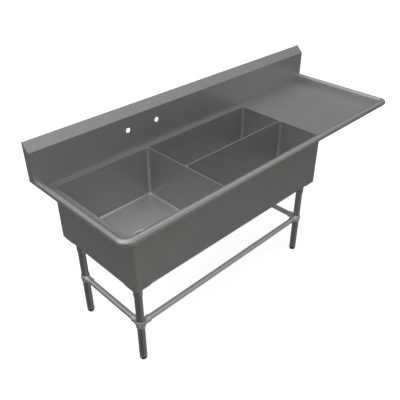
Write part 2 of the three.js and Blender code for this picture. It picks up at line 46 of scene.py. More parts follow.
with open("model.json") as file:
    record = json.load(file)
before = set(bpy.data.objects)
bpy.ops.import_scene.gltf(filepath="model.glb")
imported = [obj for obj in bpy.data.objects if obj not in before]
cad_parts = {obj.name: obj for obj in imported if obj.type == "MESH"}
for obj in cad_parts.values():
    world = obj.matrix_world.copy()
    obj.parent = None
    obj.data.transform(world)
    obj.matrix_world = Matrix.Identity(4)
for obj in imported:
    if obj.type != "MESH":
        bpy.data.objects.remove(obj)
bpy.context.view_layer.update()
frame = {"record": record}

# Sizes in metres that follow from how the pieces are made, and are not for a user to change.
FIT = 0.0003  # clearance between parts that fit together
SKIRT_CORNER = 0.020
HAT_BRIM = 0.022  # width of each flange of the channels under the drainboard
FLOOR_ABOVE_HEM = 0.005  # a bowl's floor edge above the bottom of the skirt
DISH_BELOW_FLANGE = 0.0028  # the dish round a drain below the top of its flange
DRAIN_HOLE = 0.0445  # radius of the hole in a bowl's floor
DRAIN_CUP = 0.042  # outer radius of a drain's cup
SPIGOT = 0.024  # outer radius of a drain's tailpiece
HALF_FAUCET_CENTRES = 0.1016
FAUCET_HOLE = 0.0143
LEG_WALL = 0.00165
RAIL_WALL = 0.0015
SOCKET_WALL = 0.003
SOCKET_PLATE = 0.003
COLLAR_WALL = 0.004
STEM_RADIUS = 0.006
STEM_SUNK = 0.001  # how deep a foot's stem starts inside the foot
WELD_RADIUS = 0.0248
WELD_DEPTH = 0.0032  # the weld's middle below the top of the leg's plate
SCREW_LENGTH = 0.009
SCREW_RADIUS = 0.003
FLOOR_REACH = 30.0

SHARP = 38  # degrees between faces that keep a hard edge
CAMERA_TARGET = (0.63319, 0.91524, -0.27726)

BOWLS = ("left", "front_right", "rear_right")
LEGS = ("front_left", "front_right", "rear_left", "rear_right")
RAILS = ("rail_front", "rail_left", "rail_right")
BODY_OF = {
    node: body
    for body, members in frame["record"]["behaviour"]["bodies"].items()
    for node in members
}
Extent = namedtuple("Extent", "x0 x1 y0 y1 z0 z1")


def extent(node):
    """The box of a frame node, in metres."""
    low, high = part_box(node)
    return Extent(low.x, high.x, low.y, high.y, low.z, high.z)


def middle(node):
    """The centre of a frame node's box."""
    low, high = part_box(node)
    return (low + high) / 2


def under(node):
    """The point of the ground below a frame node's centre."""
    place = middle(node)
    return Vector((place.x, place.y, 0))


def linear(code):
    """A colour given as sRGB hex, as the linear values that shaders use."""
    values = [int(code[i : i + 2], 16) / 255 for i in (1, 3, 5)]
    return tuple(v / 12.92 if v <= 0.04045 else ((v + 0.055) / 1.055) ** 2.4 for v in values)


def brighter(colour, factor):
    """A colour made brighter or darker, up to white."""
    return tuple(min(1, c * factor) for c in colour)


# ---------------------------------------------------------------- settings


class SheetSettings(bpy.types.PropertyGroup):
    """Folds and coves of the sheet metal."""

    thickness: FloatProperty(
        name="Sheet", description="Thickness of the stainless sheet", default=0.002, unit="LENGTH"
    )
    edge_bend: FloatProperty(
        name="Edge bend", description="Radius where the deck turns down into a bowl",
        default=0.0018, unit="LENGTH",
    )
    fold: FloatProperty(
        name="Fold", description="Outside radius of the backsplash folds", default=0.003, unit="LENGTH"
    )
    upstand_cove: FloatProperty(
        name="Upstand cove", description="Radius between the deck and what stands on it",
        default=0.0015, unit="LENGTH",
    )
    bowl_cove: FloatProperty(
        name="Bowl cove", description="Radius between a bowl's walls and its floor",
        default=0.018, unit="LENGTH",
    )
    bowl_corner: FloatProperty(
        name="Bowl corner", description="Radius of a bowl's upright corners",
        default=0.020, unit="LENGTH",
    )
    floor_fall: FloatProperty(
        name="Floor fall", description="How far a bowl's floor falls to its drain",
        default=0.006, unit="LENGTH",
    )
    slope_height: FloatProperty(
        name="Backsplash slope", description="Height of the sloping return on the backsplash",
        default=0.048, unit="LENGTH",
    )
    skirt_return: FloatProperty(
        name="Skirt return", description="Width of the hem under the skirt", default=0.012, unit="LENGTH"
    )


class RimSettings(bpy.types.PropertyGroup):
    """The rolled rim."""

    undertuck: FloatProperty(
        name="Undertuck", description="How far the roll curls back below its widest point",
        default=math.radians(60), subtype="ANGLE",
    )
    roll_steps: IntProperty(
        name="Roll steps", description="Facets round the roll", default=40, min=8
    )


class DrainSettings(bpy.types.PropertyGroup):
    """Drain fittings."""

    recess_width: FloatProperty(
        name="Recess", description="Outer radius of the dish round the drain",
        default=0.064, unit="LENGTH",
    )
    hole_radius: FloatProperty(
        name="Perforation", description="Radius of a hole in the strainer",
        default=0.0026, unit="LENGTH",
    )
    hole_rings: IntProperty(
        name="Rings", description="Rings of holes in the strainer", default=3, min=1, max=6
    )
    ring_step: FloatProperty(
        name="Ring step", description="Distance between rings of holes",
        default=0.0095, unit="LENGTH",
    )


class LegSettings(bpy.types.PropertyGroup):
    """Legs, feet and the weld round each socket."""

    thread_pitch: FloatProperty(
        name="Thread pitch", description="Pitch of the foot's stem", default=0.00175, unit="LENGTH"
    )
    bead_radius: FloatProperty(
        name="Weld bead", description="Radius of one ripple of the weld", default=0.0026, unit="LENGTH"
    )
    bead_count: IntProperty(
        name="Weld ripples", description="Ripples in the weld round one socket", default=44, min=8
    )
    casting_voxel: FloatProperty(
        name="Casting detail", description="Grain of the cast fittings' blended shape",
        default=0.0011, unit="LENGTH",
    )


class FinishSettings(bpy.types.PropertyGroup):
    """Colours of the finishes."""

    steel: FloatVectorProperty(
        name="Stainless", description="Colour of the brushed stainless sheet",
        default=linear("#bfbfbb"), subtype="COLOR", min=0, max=1,
    )
    casting: FloatVectorProperty(
        name="Casting", description="Colour of the cast fittings",
        default=linear("#ebebe6"), subtype="COLOR", min=0, max=1,
    )
    foot: FloatVectorProperty(
        name="Foot", description="Colour of the moulded feet",
        default=linear("#232323"), subtype="COLOR", min=0, max=1,
    )


class StageSettings(bpy.types.PropertyGroup):
    """Camera and floor."""

    azimuth: FloatProperty(
        name="Azimuth", description="Camera's turn to the left of the front",
        default=math.radians(-44.76), subtype="ANGLE",
    )
    elevation: FloatProperty(
        name="Elevation", description="Camera's height above the horizon",
        default=math.radians(33.618), subtype="ANGLE",
    )
    distance: FloatProperty(
        name="Distance", description="Camera to its target", default=4.47085, unit="LENGTH"
    )
    lens: FloatProperty(name="Lens", description="Focal length in millimetres", default=45.57)
    floor: FloatVectorProperty(
        name="Floor", description="Colour of the studio floor",
        default=linear("#f4f4f4"), subtype="COLOR", min=0, max=1,
    )
    floor_glow: FloatProperty(
        name="Floor glow", description="How far the floor lights itself, to stay pale", default=0.75
    )


# ---------------------------------------------------------------- node helper


def node(tree, kind, values=None, links=None, **settings):
    """Adds one node with its settings, its sockets' values and its links from other sockets."""
    made = tree.nodes.new(kind)
    for key, value in settings.items():
        setattr(made, key, value)
    for socket, value in (values or {}).items():
        made.inputs[socket].default_value = value
    for socket, source in (links or {}).items():
        tree.links.new(source, made.inputs[socket])
    return made


# ---------------------------------------------------------------- finishes


def shader_of(name):
    """An empty material with its shader, and the shader's tree."""
    material = bpy.data.materials.new(name)
    material.use_nodes = True
    tree = material.node_tree
    tree.nodes.clear()
    shader = node(tree, "ShaderNodeBsdfPrincipled")
    node(tree, "ShaderNodeOutputMaterial", links={"Surface": shader.outputs["BSDF"]})
    return material, tree, shader


def grain(tree, place, stretch, spacing):
    """Noise drawn out along the axis with the small stretch; spacing is the line width in metres."""
    scale = node(tree, "ShaderNodeMapping", {"Scale": stretch}, {"Vector": place})
    lines = node(
        tree, "ShaderNodeTexNoise",
        {"Scale": 1 / spacing, "Detail": 3.0, "Roughness": 0.6},
        {"Vector": scale.outputs["Vector"]},
    )
    return lines.outputs["Fac"]


def brushed_stainless(name, colour, ridge, groove, upright, level, painted_level_light=1.0, spacing=0.0002):
    """Grade 304 sheet with a brushed and buffed finish: the buff brightens the ridges between fine
    parallel scratches, so a clear reflection lies over a broad soft sheen. ridge and groove are their
    roughness. The real scratches are about 0.1 mm apart, and are drawn twice as coarse so that they
    show. upright and level are the stretch of the grain on walls and on flat faces. The last argument
    is painted top light: how much brighter the base colour of the flat faces is made."""
    material, tree, shader = shader_of(name)
    coordinates = node(tree, "ShaderNodeTexCoord")
    place = coordinates.outputs["Object"]
    facing = node(tree, "ShaderNodeSeparateXYZ", links={"Vector": coordinates.outputs["Normal"]})
    flat = node(tree, "ShaderNodeMath", links={0: facing.outputs["Z"]}, operation="ABSOLUTE")
    step = node(
        tree, "ShaderNodeMapRange", {"From Min": 0.6, "From Max": 0.8}, {"Value": flat.outputs[0]}
    )
    lines = node(
        tree, "ShaderNodeMix",
        links={
            "Factor": step.outputs["Result"],
            "A": grain(tree, place, upright, spacing),
            "B": grain(tree, place, level, spacing),
        },
    )
    # Slow drifts of the finish, about a hand wide, from wiping and from the belt's changing pressure.
    drift = node(
        tree, "ShaderNodeTexNoise", {"Scale": 7.0, "Detail": 2.0, "Roughness": 0.5}, {"Vector": place}
    )
    line_part = node(
        tree, "ShaderNodeMapRange",
        {"From Min": 0.34, "From Max": 0.64, "To Min": ridge, "To Max": groove},
        {"Value": lines.outputs["Result"]},
    )
    drift_part = node(
        tree, "ShaderNodeMapRange",
        {"From Min": 0.3, "From Max": 0.7, "To Min": -0.03, "To Max": 0.03},
        {"Value": drift.outputs["Fac"]},
    )
    rough = node(
        tree, "ShaderNodeMath",
        links={0: line_part.outputs["Result"], 1: drift_part.outputs["Result"]},
        operation="ADD", use_clamp=True,
    )
    tree.links.new(rough.outputs[0], shader.inputs["Roughness"])
    tone = node(
        tree, "ShaderNodeMix",
        {"A": (*brighter(colour, 0.94), 1), "B": (*brighter(colour, 1.05), 1)},
        {"Factor": lines.outputs["Result"]},
        data_type="RGBA",
    )
    # Painted top light: the flat faces get a brighter base colour, standing in for light falling from
    # above.
    painted_level_tone = node(
        tree, "ShaderNodeMix",
        {"B": (*brighter(colour, painted_level_light), 1)},
        {"Factor": step.outputs["Result"], "A": tone.outputs["Result"]},
        data_type="RGBA",
    )
    tree.links.new(painted_level_tone.outputs["Result"], shader.inputs["Base Color"])
    bump = node(
        tree, "ShaderNodeBump",
        {"Strength": 0.05, "Distance": 0.00005},
        {"Height": lines.outputs["Result"]},
    )
    tree.links.new(bump.outputs["Normal"], shader.inputs["Normal"])
    shader.inputs["Metallic"].default_value = 1.0
    return material


def cast_aluminium(name, colour):
    """Sand-cast aluminium, tumbled: a fine pebbled skin, duller in the pits and brighter on the high
    spots. The sand's grain is about 0.4 mm, drawn at 0.9 mm so that it shows."""
    material, tree, shader = shader_of(name)
    place = node(tree, "ShaderNodeTexCoord").outputs["Object"]
    sand = node(
        tree, "ShaderNodeTexNoise", {"Scale": 1100.0, "Detail": 3.0, "Roughness": 0.6}, {"Vector": place}
    )
    blotch = node(tree, "ShaderNodeTexNoise", {"Scale": 60.0, "Detail": 2.0}, {"Vector": place})
    rough = node(
        tree, "ShaderNodeMapRange",
        {"From Min": 0.3, "From Max": 0.7, "To Min": 0.36, "To Max": 0.5},
        {"Value": blotch.outputs["Fac"]},
    )
    tree.links.new(rough.outputs["Result"], shader.inputs["Roughness"])
    tone = node(
        tree, "ShaderNodeMix",
        {"A": (*brighter(colour, 0.82), 1), "B": (*colour, 1)},
        {"Factor": sand.outputs["Fac"]},
        data_type="RGBA",
    )
    tree.links.new(tone.outputs["Result"], shader.inputs["Base Color"])
    bump = node(
        tree, "ShaderNodeBump", {"Strength": 0.35, "Distance": 0.0002}, {"Height": sand.outputs["Fac"]}
    )
    tree.links.new(bump.outputs["Normal"], shader.inputs["Normal"])
    shader.inputs["Metallic"].default_value = 1.0
    return material


def zinc_plate(name):
    """Bright zinc plate on steel: pale with a faint blue-grey bloom in patches a few millimetres wide."""
    material, tree, shader = shader_of(name)
    place = node(tree, "ShaderNodeTexCoord").outputs["Object"]
    bloom = node(tree, "ShaderNodeTexNoise", {"Scale": 240.0, "Detail": 3.0}, {"Vector": place})
    tone = node(
        tree, "ShaderNodeMix",
        {"A": (*linear("#a8adb2"), 1), "B": (*linear("#d3d5d4"), 1)},
        {"Factor": bloom.outputs["Fac"]},
        data_type="RGBA",
    )
    tree.links.new(tone.outputs["Result"], shader.inputs["Base Color"])
    rough = node(
        tree, "ShaderNodeMapRange", {"To Min": 0.22, "To Max": 0.42}, {"Value": bloom.outputs["Fac"]}
    )
    tree.links.new(rough.outputs["Result"], shader.inputs["Roughness"])
    shader.inputs["Metallic"].default_value = 1.0
    return material


def moulded_nylon(name, colour):
    """Black nylon from a spark-eroded mould: a fine even pebble about 0.5 mm across, with scuffs that
    show as slightly paler, drier patches."""
    material, tree, shader = shader_of(name)
    place = node(tree, "ShaderNodeTexCoord").outputs["Object"]
    pebble = node(tree, "ShaderNodeTexNoise", {"Scale": 1600.0, "Detail": 2.0}, {"Vector": place})
    scuff = node(tree, "ShaderNodeTexNoise", {"Scale": 90.0, "Detail": 4.0}, {"Vector": place})
    worn = node(
        tree, "ShaderNodeMapRange", {"From Min": 0.52, "From Max": 0.7}, {"Value": scuff.outputs["Fac"]}
    )
    tone = node(
        tree, "ShaderNodeMix",
        {"A": (*colour, 1), "B": (*[c * 2.2 + 0.004 for c in colour], 1)},
        {"Factor": worn.outputs["Result"]},
        data_type="RGBA",
    )
    tree.links.new(tone.outputs["Result"], shader.inputs["Base Color"])
    rough = node(
        tree, "ShaderNodeMapRange", {"To Min": 0.45, "To Max": 0.68}, {"Value": worn.outputs["Result"]}
    )
    tree.links.new(rough.outputs["Result"], shader.inputs["Roughness"])
    bump = node(
        tree, "ShaderNodeBump", {"Strength": 0.3, "Distance": 0.0001}, {"Height": pebble.outputs["Fac"]}
    )
    tree.links.new(bump.outputs["Normal"], shader.inputs["Normal"])
    shader.inputs["IOR"].default_value = 1.53
    return material


def gasket_rubber(name):
    """Cut black rubber sheet: matt, with a dusting of talc in the low spots."""
    material, tree, shader = shader_of(name)
    place = node(tree, "ShaderNodeTexCoord").outputs["Object"]
    talc = node(tree, "ShaderNodeTexNoise", {"Scale": 300.0, "Detail": 4.0}, {"Vector": place})
    tone = node(
        tree, "ShaderNodeMix",
        {"A": (*linear("#171717"), 1), "B": (*linear("#2e2d2c"), 1)},
        {"Factor": talc.outputs["Fac"]},
        data_type="RGBA",
    )
    tree.links.new(tone.outputs["Result"], shader.inputs["Base Color"])
    rough = node(
        tree, "ShaderNodeMapRange", {"To Min": 0.78, "To Max": 0.95}, {"Value": talc.outputs["Fac"]}
    )
    tree.links.new(rough.outputs["Result"], shader.inputs["Roughness"])
    bump = node(
        tree, "ShaderNodeBump", {"Strength": 0.2, "Distance": 0.0002}, {"Height": talc.outputs["Fac"]}
    )
    tree.links.new(bump.outputs["Normal"], shader.inputs["Normal"])
    return material


ALONG_X = (0.02, 1.0, 1.0)
ALONG_Y = (1.0, 0.02, 1.0)
ALONG_Z = (1.0, 1.0, 0.02)
LEVEL = (0.03, 0.03, 1.0)

# How each steel is finished: its shade beside the sheet's (for the rim and the rails a painted
# highlight), the roughness of the ridges and of the grooves, the stretch of the grain on walls and on
# flat faces, and the painted top light, how much brighter the flat faces are made.
STEELS = {
    "satin_sheet": (1.0, 0.07, 0.95, ALONG_X, ALONG_X),
    "satin_bowl": (1.0, 0.07, 0.95, LEVEL, ALONG_X, 1.5),
    "satin_end_plate": (1.0, 0.07, 0.95, ALONG_Y, ALONG_Y),
    # The rim: its lower roughness is the real blended finish, and its 1.1 brighter colour is a painted
    # highlight.
    "blended_rim_painted_highlight": (1.1, 0.1, 0.7, LEVEL, LEVEL),
    "brushed_leg_tube": (1.0, 0.12, 0.6, ALONG_Z, ALONG_X),
    # The rails: the leg tube's finish with a 1.35 brighter colour, a painted highlight for the overhead
    # light along level tubes.
    "rail_tube_painted_highlight": (1.35, 0.12, 0.6, ALONG_Z, ALONG_X),
    "turned_drain_steel": (1.6, 0.12, 0.4, LEVEL, LEVEL),
    "welded_steel": (0.9, 0.25, 0.5, LEVEL, LEVEL),
}


def finish(kind):
    """The finish of that name, made the first time it is asked for."""
    made = bpy.data.materials.get(kind)
    if made:
        return made
    colours = bpy.context.scene.sink_finish
    if kind in STEELS:
        shade, *settings = STEELS[kind]
        return brushed_stainless(kind, brighter(colours.steel, shade), *settings)
    if kind == "cast_aluminium":
        return cast_aluminium(kind, tuple(colours.casting))
    if kind == "zinc_plate":
        return zinc_plate(kind)
    if kind == "moulded_nylon":
        return moulded_nylon(kind, tuple(colours.foot))
    if kind == "gasket_rubber":
        return gasket_rubber(kind)
    raise ValueError("no finish is named " + kind)


# ---------------------------------------------------------------- mesh helpers


def make_object(name, vertices, faces, material, sharp=SHARP):
    """A mesh object at the origin, with its faces turned outward and smooth but for its sharp edges."""
    mesh = bpy.data.meshes.new(name)
    mesh.from_pydata([tuple(v) for v in vertices], [], faces)
    work = bmesh.new()
    work.from_mesh(mesh)
    if work.calc_volume(signed=True) < 0:
        bmesh.ops.reverse_faces(work, faces=work.faces)
    work.to_mesh(mesh)
    work.free()
    mesh.materials.append(material)
    mesh.shade_smooth()
    mesh.set_sharp_from_angle(angle=math.radians(sharp))
    made = bpy.data.objects.new(name, mesh)
    bpy.context.scene.collection.objects.link(made)
    return made


def stand_for(made, slot, *nodes):
    """The piece takes the place of these frame nodes and moves with their body."""
    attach(made, BODY_OF[nodes[0]])
    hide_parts(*nodes)
    return made


def joined(*parts):
    """Several closed skins as one list of vertices and faces."""
    vertices, faces = [], []
    for points, loops in parts:
        start = len(vertices)
        vertices += list(points)
        faces += [tuple(i + start for i in loop) for loop in loops]
    return vertices, faces


def loft(rings, close_rows=True, open_rings=False):
    """Faces between equal rings. Rows that don't close on the first ring, and rings that are open
    lines, are capped at their ends."""
    count = len(rings[0])
    rows = len(rings)
    vertices = [p for ring in rings for p in ring]
    faces = []
    for a in range(rows if close_rows else rows - 1):
        b = (a + 1) % rows
        for i in range(count - 1 if open_rings else count):
            j = (i + 1) % count
            faces.append((a * count + i, a * count + j, b * count + j, b * count + i))
    if not close_rows:
        faces.append(tuple(reversed(range(count))))
        faces.append(tuple(range((rows - 1) * count, rows * count)))
    if open_rings:
        faces.append(tuple(a * count for a in range(rows)))
        faces.append(tuple(a * count + count - 1 for a in reversed(range(rows))))
    return vertices, faces


def spin(profile, centre, segments=48, closed=True, turn=None):
    """A turned body about the upright through centre. profile is radius and height; a point on the
    axis becomes a pole. turn is a matrix that lays the axis another way first."""
    vertices, faces, rows = [], [], []
    for radius, height in profile:
        start = len(vertices)
        if radius < 1e-9:
            vertices.append(Vector((0, 0, height)))
            rows.append([start] * segments)
            continue
        for i in range(segments):
            angle = 2 * math.pi * i / segments
            vertices.append(Vector((radius * math.cos(angle), radius * math.sin(angle), height)))
        rows.append(list(range(start, start + segments)))
    pairs = list(zip(rows, rows[1:]))
    if closed:
        pairs.append((rows[-1], rows[0]))
    for low, high in pairs:
        for i in range(segments):
            j = (i + 1) % segments
            loop = []
            for corner in (low[i], low[j], high[j], high[i]):
                if corner not in loop:
                    loop.append(corner)
            if len(loop) > 2:
                faces.append(tuple(loop))
    place = Matrix.Translation(centre) @ (turn or Matrix.Identity(4))
    return [place @ v for v in vertices], faces


def bent(points, radius, steps=6, guard=0.0006):
    """Rounds the inner points of a line with arcs. A guard point each side keeps the flats flat."""
    line = [Vector(p) for p in points]
    out = [line[0]]
    for before, corner, after in zip(line, line[1:], line[2:]):
        back = (before - corner).normalized()
        on = (after - corner).normalized()
        half = back.angle(on) / 2
        turn = math.pi - 2 * half
        centre = corner + (back + on).normalized() * (radius / math.sin(half))
        start = corner + back * (radius / math.tan(half))
        end = corner + on * (radius / math.tan(half))
        out.append(start + back * guard)
        for i in range(steps + 1):
            share = i / steps
            first = (start - centre) * math.sin((1 - share) * turn)
            second = (end - centre) * math.sin(share * turn)
            out.append(centre + (first + second) / math.sin(turn))
        out.append(end + on * guard)
    out.append(line[-1])
    return out


def quarter(steps):
    """The angles of a quarter turn, from nought."""
    return [i / steps * math.pi / 2 for i in range(steps + 1)]


def cove_arc(x, y, radius):
    """A quarter arc that leaves a level sheet and turns up into a wall at x; y is the sheet's face."""
    return [
        Vector((x - radius + radius * math.sin(a), y + radius - radius * math.cos(a))) for a in quarter(5)
    ]


def left_of(line, distance):
    """An open line moved to its left by a distance."""
    normals = []
    for a, b in zip(line, line[1:]):
        along = (b - a).normalized()
        normals.append(Vector((-along.y, along.x)))
    moved = []
    for i, p in enumerate(line):
        before = normals[max(i - 1, 0)]
        after = normals[min(i, len(normals) - 1)]
        mitre = (before + after).normalized()
        moved.append(p + mitre * (distance / max(mitre.dot(after), 0.2)))
    return moved


def sheet_section(line, thickness):
    """The closed section of a sheet whose shown face follows the line."""
    return list(line) + list(reversed(left_of(line, thickness)))


def swept(section, places):
    """A section carried along places, each an origin and the directions of its two axes."""
    return loft([[o + u * p.x + v * p.y for p in section] for o, u, v in places], close_rows=False)


def straight(section, ends, y=0.0, z=0.0, facing=1):
    """A section carried along X between two ends; its own X points along Y, or back when facing is -1."""
    places = [(Vector((x, y, z)), Vector((0, facing, 0)), Vector((0, 0, 1))) for x in ends]
    return swept(section, places)


def rounded_rectangle(x0, x1, y0, y1, radii, corner_steps=8, side_steps=6):
    """Points of a rounded rectangle, counter-clockwise from the right front corner. Radii go with the
    corners in that order, and one number serves all four."""
    r = list(radii) if isinstance(radii, (tuple, list)) else [radii] * 4
    corners = [
        (x1 - r[0], y0 + r[0]), (x1 - r[1], y1 - r[1]), (x0 + r[2], y1 - r[2]), (x0 + r[3], y0 + r[3]),
    ]
    arcs = []
    for k, (cx, cy) in enumerate(corners):
        turns = [((k - 1) + j / corner_steps) * math.pi / 2 for j in range(corner_steps + 1)]
        arcs.append([Vector((cx + r[k] * math.cos(a), cy + r[k] * math.sin(a))) for a in turns])
    points = []
    for k, arc in enumerate(arcs):
        points += arc
        after = arcs[(k + 1) % 4][0]
        for j in range(1, side_steps):
            points.append(arc[-1].lerp(after, j / side_steps))
    return points


def at_height(points, z):
    """Flat points lifted to a height."""
    return [Vector((p.x, p.y, z)) for p in points]


def plate_skin(outline, z0, z1, edge=0.0003):
    """A plate with a thin chamfer round both faces."""
    centre = sum(outline, Vector((0, 0))) / len(outline)

    def drawn_in(points):
        return [p + (centre - p).normalized() * edge for p in points]

    rings = [
        at_height(drawn_in(outline), z0), at_height(outline, z0 + edge),
        at_height(outline, z1 - edge), at_height(drawn_in(outline), z1),
    ]
    return loft(rings, close_rows=False)


def shaped(source, *modifiers):
    """The source's mesh after the modifiers, each a type and its settings; the source keeps the result
    and loses its modifiers.
    """
    for kind, settings in modifiers:
        modifier = source.modifiers.new(kind, kind)
        for key, value in settings.items():
            setattr(modifier, key, value)
    graph = bpy.context.evaluated_depsgraph_get()
    mesh = bpy.data.meshes.new_from_object(source.evaluated_get(graph))
    source.modifiers.clear()
    source.data = mesh
    return source


# ---------------------------------------------------------------- bowls


def basin_rings(bowl, out, sheet, drain):
    """The inside face of a bowl, or its outside face when out is the sheet's thickness."""
    top = extent("deck_frame").z1 - sheet.edge_bend
    edge = extent("apron").z0 + FLOOR_ABOVE_HEM
    wall = [bowl.x0 + sheet.thickness, bowl.x1 - sheet.thickness]
    side = [bowl.y0 + sheet.thickness, bowl.y1 - sheet.thickness]

    def ring(inset, z):
        push = inset - out
        points = rounded_rectangle(
            wall[0] + push, wall[1] - push, side[0] + push, side[1] - push, sheet.bowl_corner - push
        )
        return at_height(points, z)

    cove = sheet.bowl_cove
    rings = [ring(0, top), ring(0, edge + cove + 0.001)]
    radius = cove + out
    for angle in quarter(8):
        rings.append(ring(radius * (1 - math.cos(angle)), edge + cove - radius * math.sin(angle)))
    rim = ring(cove + out + 0.001, edge - out)
    rings.append(rim)
    dish = bpy.context.scene.sink_drain.recess_width
    # The dish from its lip in to the hole: radius, and height above its floor.
    levels = [
        (dish + 0.004, 0.003), (dish + 0.0015, 0.0029), (dish - 0.0005, 0.0022),
        (dish - 0.0025, 0.0008), (dish - 0.0045, 0.0001), (dish - 0.0065, 0.0), (DRAIN_HOLE, 0.0),
    ]

    def round_drain(radius, lift):
        centre = Vector((drain.x, drain.y, drain.z + lift - out))
        return [
            centre + Vector((p.x - drain.x, p.y - drain.y, 0)).normalized() * radius for p in rim
        ]

    turned = [round_drain(*level) for level in levels]
    for share in (0.33, 0.67):
        rings.append([p.lerp(inner, share) for p, inner in zip(rim, turned[0])])
    return rings + turned


class SINK_OT_basins(bpy.types.Operator):
    """Makes the three coved bowls, each with its floor creased down to the drain"""

    bl_idname = "sink.basins"
    bl_label = "Basins"

    def execute(self, context):
        sheet = context.scene.sink_sheet
        for name in BOWLS:
            bowl = extent("bowl_" + name)
            flange = extent("drain_flange_" + name)
            place = middle("drain_flange_" + name)
            drain = Vector((place.x, place.y, flange.z1 - DISH_BELOW_FLANGE))
            inside = basin_rings(bowl, 0.0, sheet, drain)
            outside = basin_rings(bowl, sheet.thickness, sheet, drain)
            made = make_object("basin_" + name, *loft(inside + outside[::-1]), finish("satin_bowl"))
            stand_for(made, "stainless_sheet", "bowl_" + name)
        return {"FINISHED"}


# ---------------------------------------------------------------- deck and drainboard


def flat_faces(loops, z, down):
    """Triangles that fill an outline round its openings, facing up or down."""
    flat = [at_height(loop, z) for loop in loops]
    triangles = tessellate_polygon(flat)
    points = [p for loop in flat for p in loop]
    a, b, c = (points[i] for i in triangles[0])
    points_down = (b - a).cross(c - a).z <= 0
    step = 1 if points_down == down else -1
    return points, [tuple(t[::step]) for t in triangles]


def deck_skin(outline, openings, z_top, thickness, bend):
    """A sheet with an outline and rounded openings whose edges are bent down."""
    guard = 0.0004

    def opening(box, grow):
        x0, x1, y0, y1, r = box
        return rounded_rectangle(x0 - grow, x1 + grow, y0 - grow, y1 + grow, r + grow)

    loops = [outline] + [opening(box, bend + guard) for box in openings]
    parts = [flat_faces(loops, z_top, False), flat_faces(loops, z_top - thickness, True)]
    edge = [at_height(outline, z_top - thickness), at_height(outline, z_top)]
    count = len(outline)
    parts.append((
        edge[0] + edge[1],
        [(i, (i + 1) % count, count + (i + 1) % count, count + i) for i in range(count)],
    ))
    for box in openings:
        rings = [at_height(opening(box, bend + guard), z_top)]
        for angle in quarter(6):
            rings.append(at_height(
                opening(box, bend - bend * math.sin(angle)), z_top - bend * (1 - math.cos(angle))
            ))
        rings.append(at_height(opening(box, thickness), z_top - bend))
        rings.append(at_height(opening(box, bend), z_top - thickness))
        rings.append(at_height(opening(box, bend + guard), z_top - thickness))
        count = len(rings[0])
        faces = []
        for a in range(len(rings) - 1):
            for i in range(count):
                j = (i + 1) % count
                faces.append((a * count + i, (a + 1) * count + i, (a + 1) * count + j, a * count + j))
        parts.append(([p for ring in rings for p in ring], faces))
    return joined(*parts)


def weld_and_close(made):
    """Merges touching points and turns the closed skin's faces outward."""
    work = bmesh.new()
    work.from_mesh(made.data)
    bmesh.ops.remove_doubles(work, verts=work.verts, dist=1e-6)
    bmesh.ops.recalc_face_normals(work, faces=work.faces)
    if work.calc_volume(signed=True) < 0:
        bmesh.ops.reverse_faces(work, faces=work.faces)
    work.to_mesh(made.data)
    work.free()
    made.data.shade_smooth()
    made.data.set_sharp_from_angle(angle=math.radians(SHARP))
    return made


class SINK_OT_deck(bpy.types.Operator):
    """Makes the deck with its bent bowl edges, the drainboard and the channels under it"""

    bl_idname = "sink.deck"
    bl_label = "Deck and drainboard"

    def execute(self, context):
        sheet = context.scene.sink_sheet
        deck = extent("deck_frame")
        board = extent("drainboard")
        square = 1e-5  # the radius of a corner left square
        roll = extent("rim_left")
        turn = extent("rim_corner_left").x1 - roll.x1 + sheet.thickness
        outline = rounded_rectangle(
            deck.x0, board.x0, deck.y0, deck.y1 + FIT, (square, square, square, turn), 8, 1
        )
        openings = []
        for name in BOWLS:
            bowl = extent("bowl_" + name)
            t = sheet.thickness
            openings.append((bowl.x0 + t, bowl.x1 - t, bowl.y0 + t, bowl.y1 - t, sheet.bowl_corner))
        skin = deck_skin(outline, openings, deck.z1, sheet.thickness, sheet.edge_bend)
        made = make_object("deck", *skin, finish("satin_sheet"))
        weld_and_close(made)
        stand_for(made, "stainless_sheet", "deck_frame", "divider_cap")

        outline = rounded_rectangle(
            board.x0, board.x1, board.y0, board.y1 + FIT, (0.005, square, square, square), 8, 1
        )
        made = make_object(
            "drainboard_sheet", *plate_skin(outline, board.z0, board.z1, 1e-5), finish("satin_sheet")
        )
        stand_for(made, "stainless_sheet", "drainboard")

        for name in ("drainboard_channel_front", "drainboard_channel_rear"):
            hat = extent(name)
            cy = (hat.y0 + hat.y1) / 2
            half = (hat.y1 - hat.y0) / 2
            crown = half - HAT_BRIM
            drop = hat.z1 - hat.z0 - sheet.thickness
            line = bent(
                [(-half, 0), (-crown, 0), (-crown + 0.002, -drop), (crown - 0.002, -drop), (crown, 0),
                 (half, 0)],
                0.003, 4,
            )
            section = sheet_section(line, -sheet.thickness)
            skin = straight(section, (hat.x0, hat.x1), cy, hat.z1)
            made = make_object("hat_" + name, *skin, finish("satin_sheet"))
            stand_for(made, "stainless_channel", name)
        return {"FINISHED"}


# ---------------------------------------------------------------- rolled rim


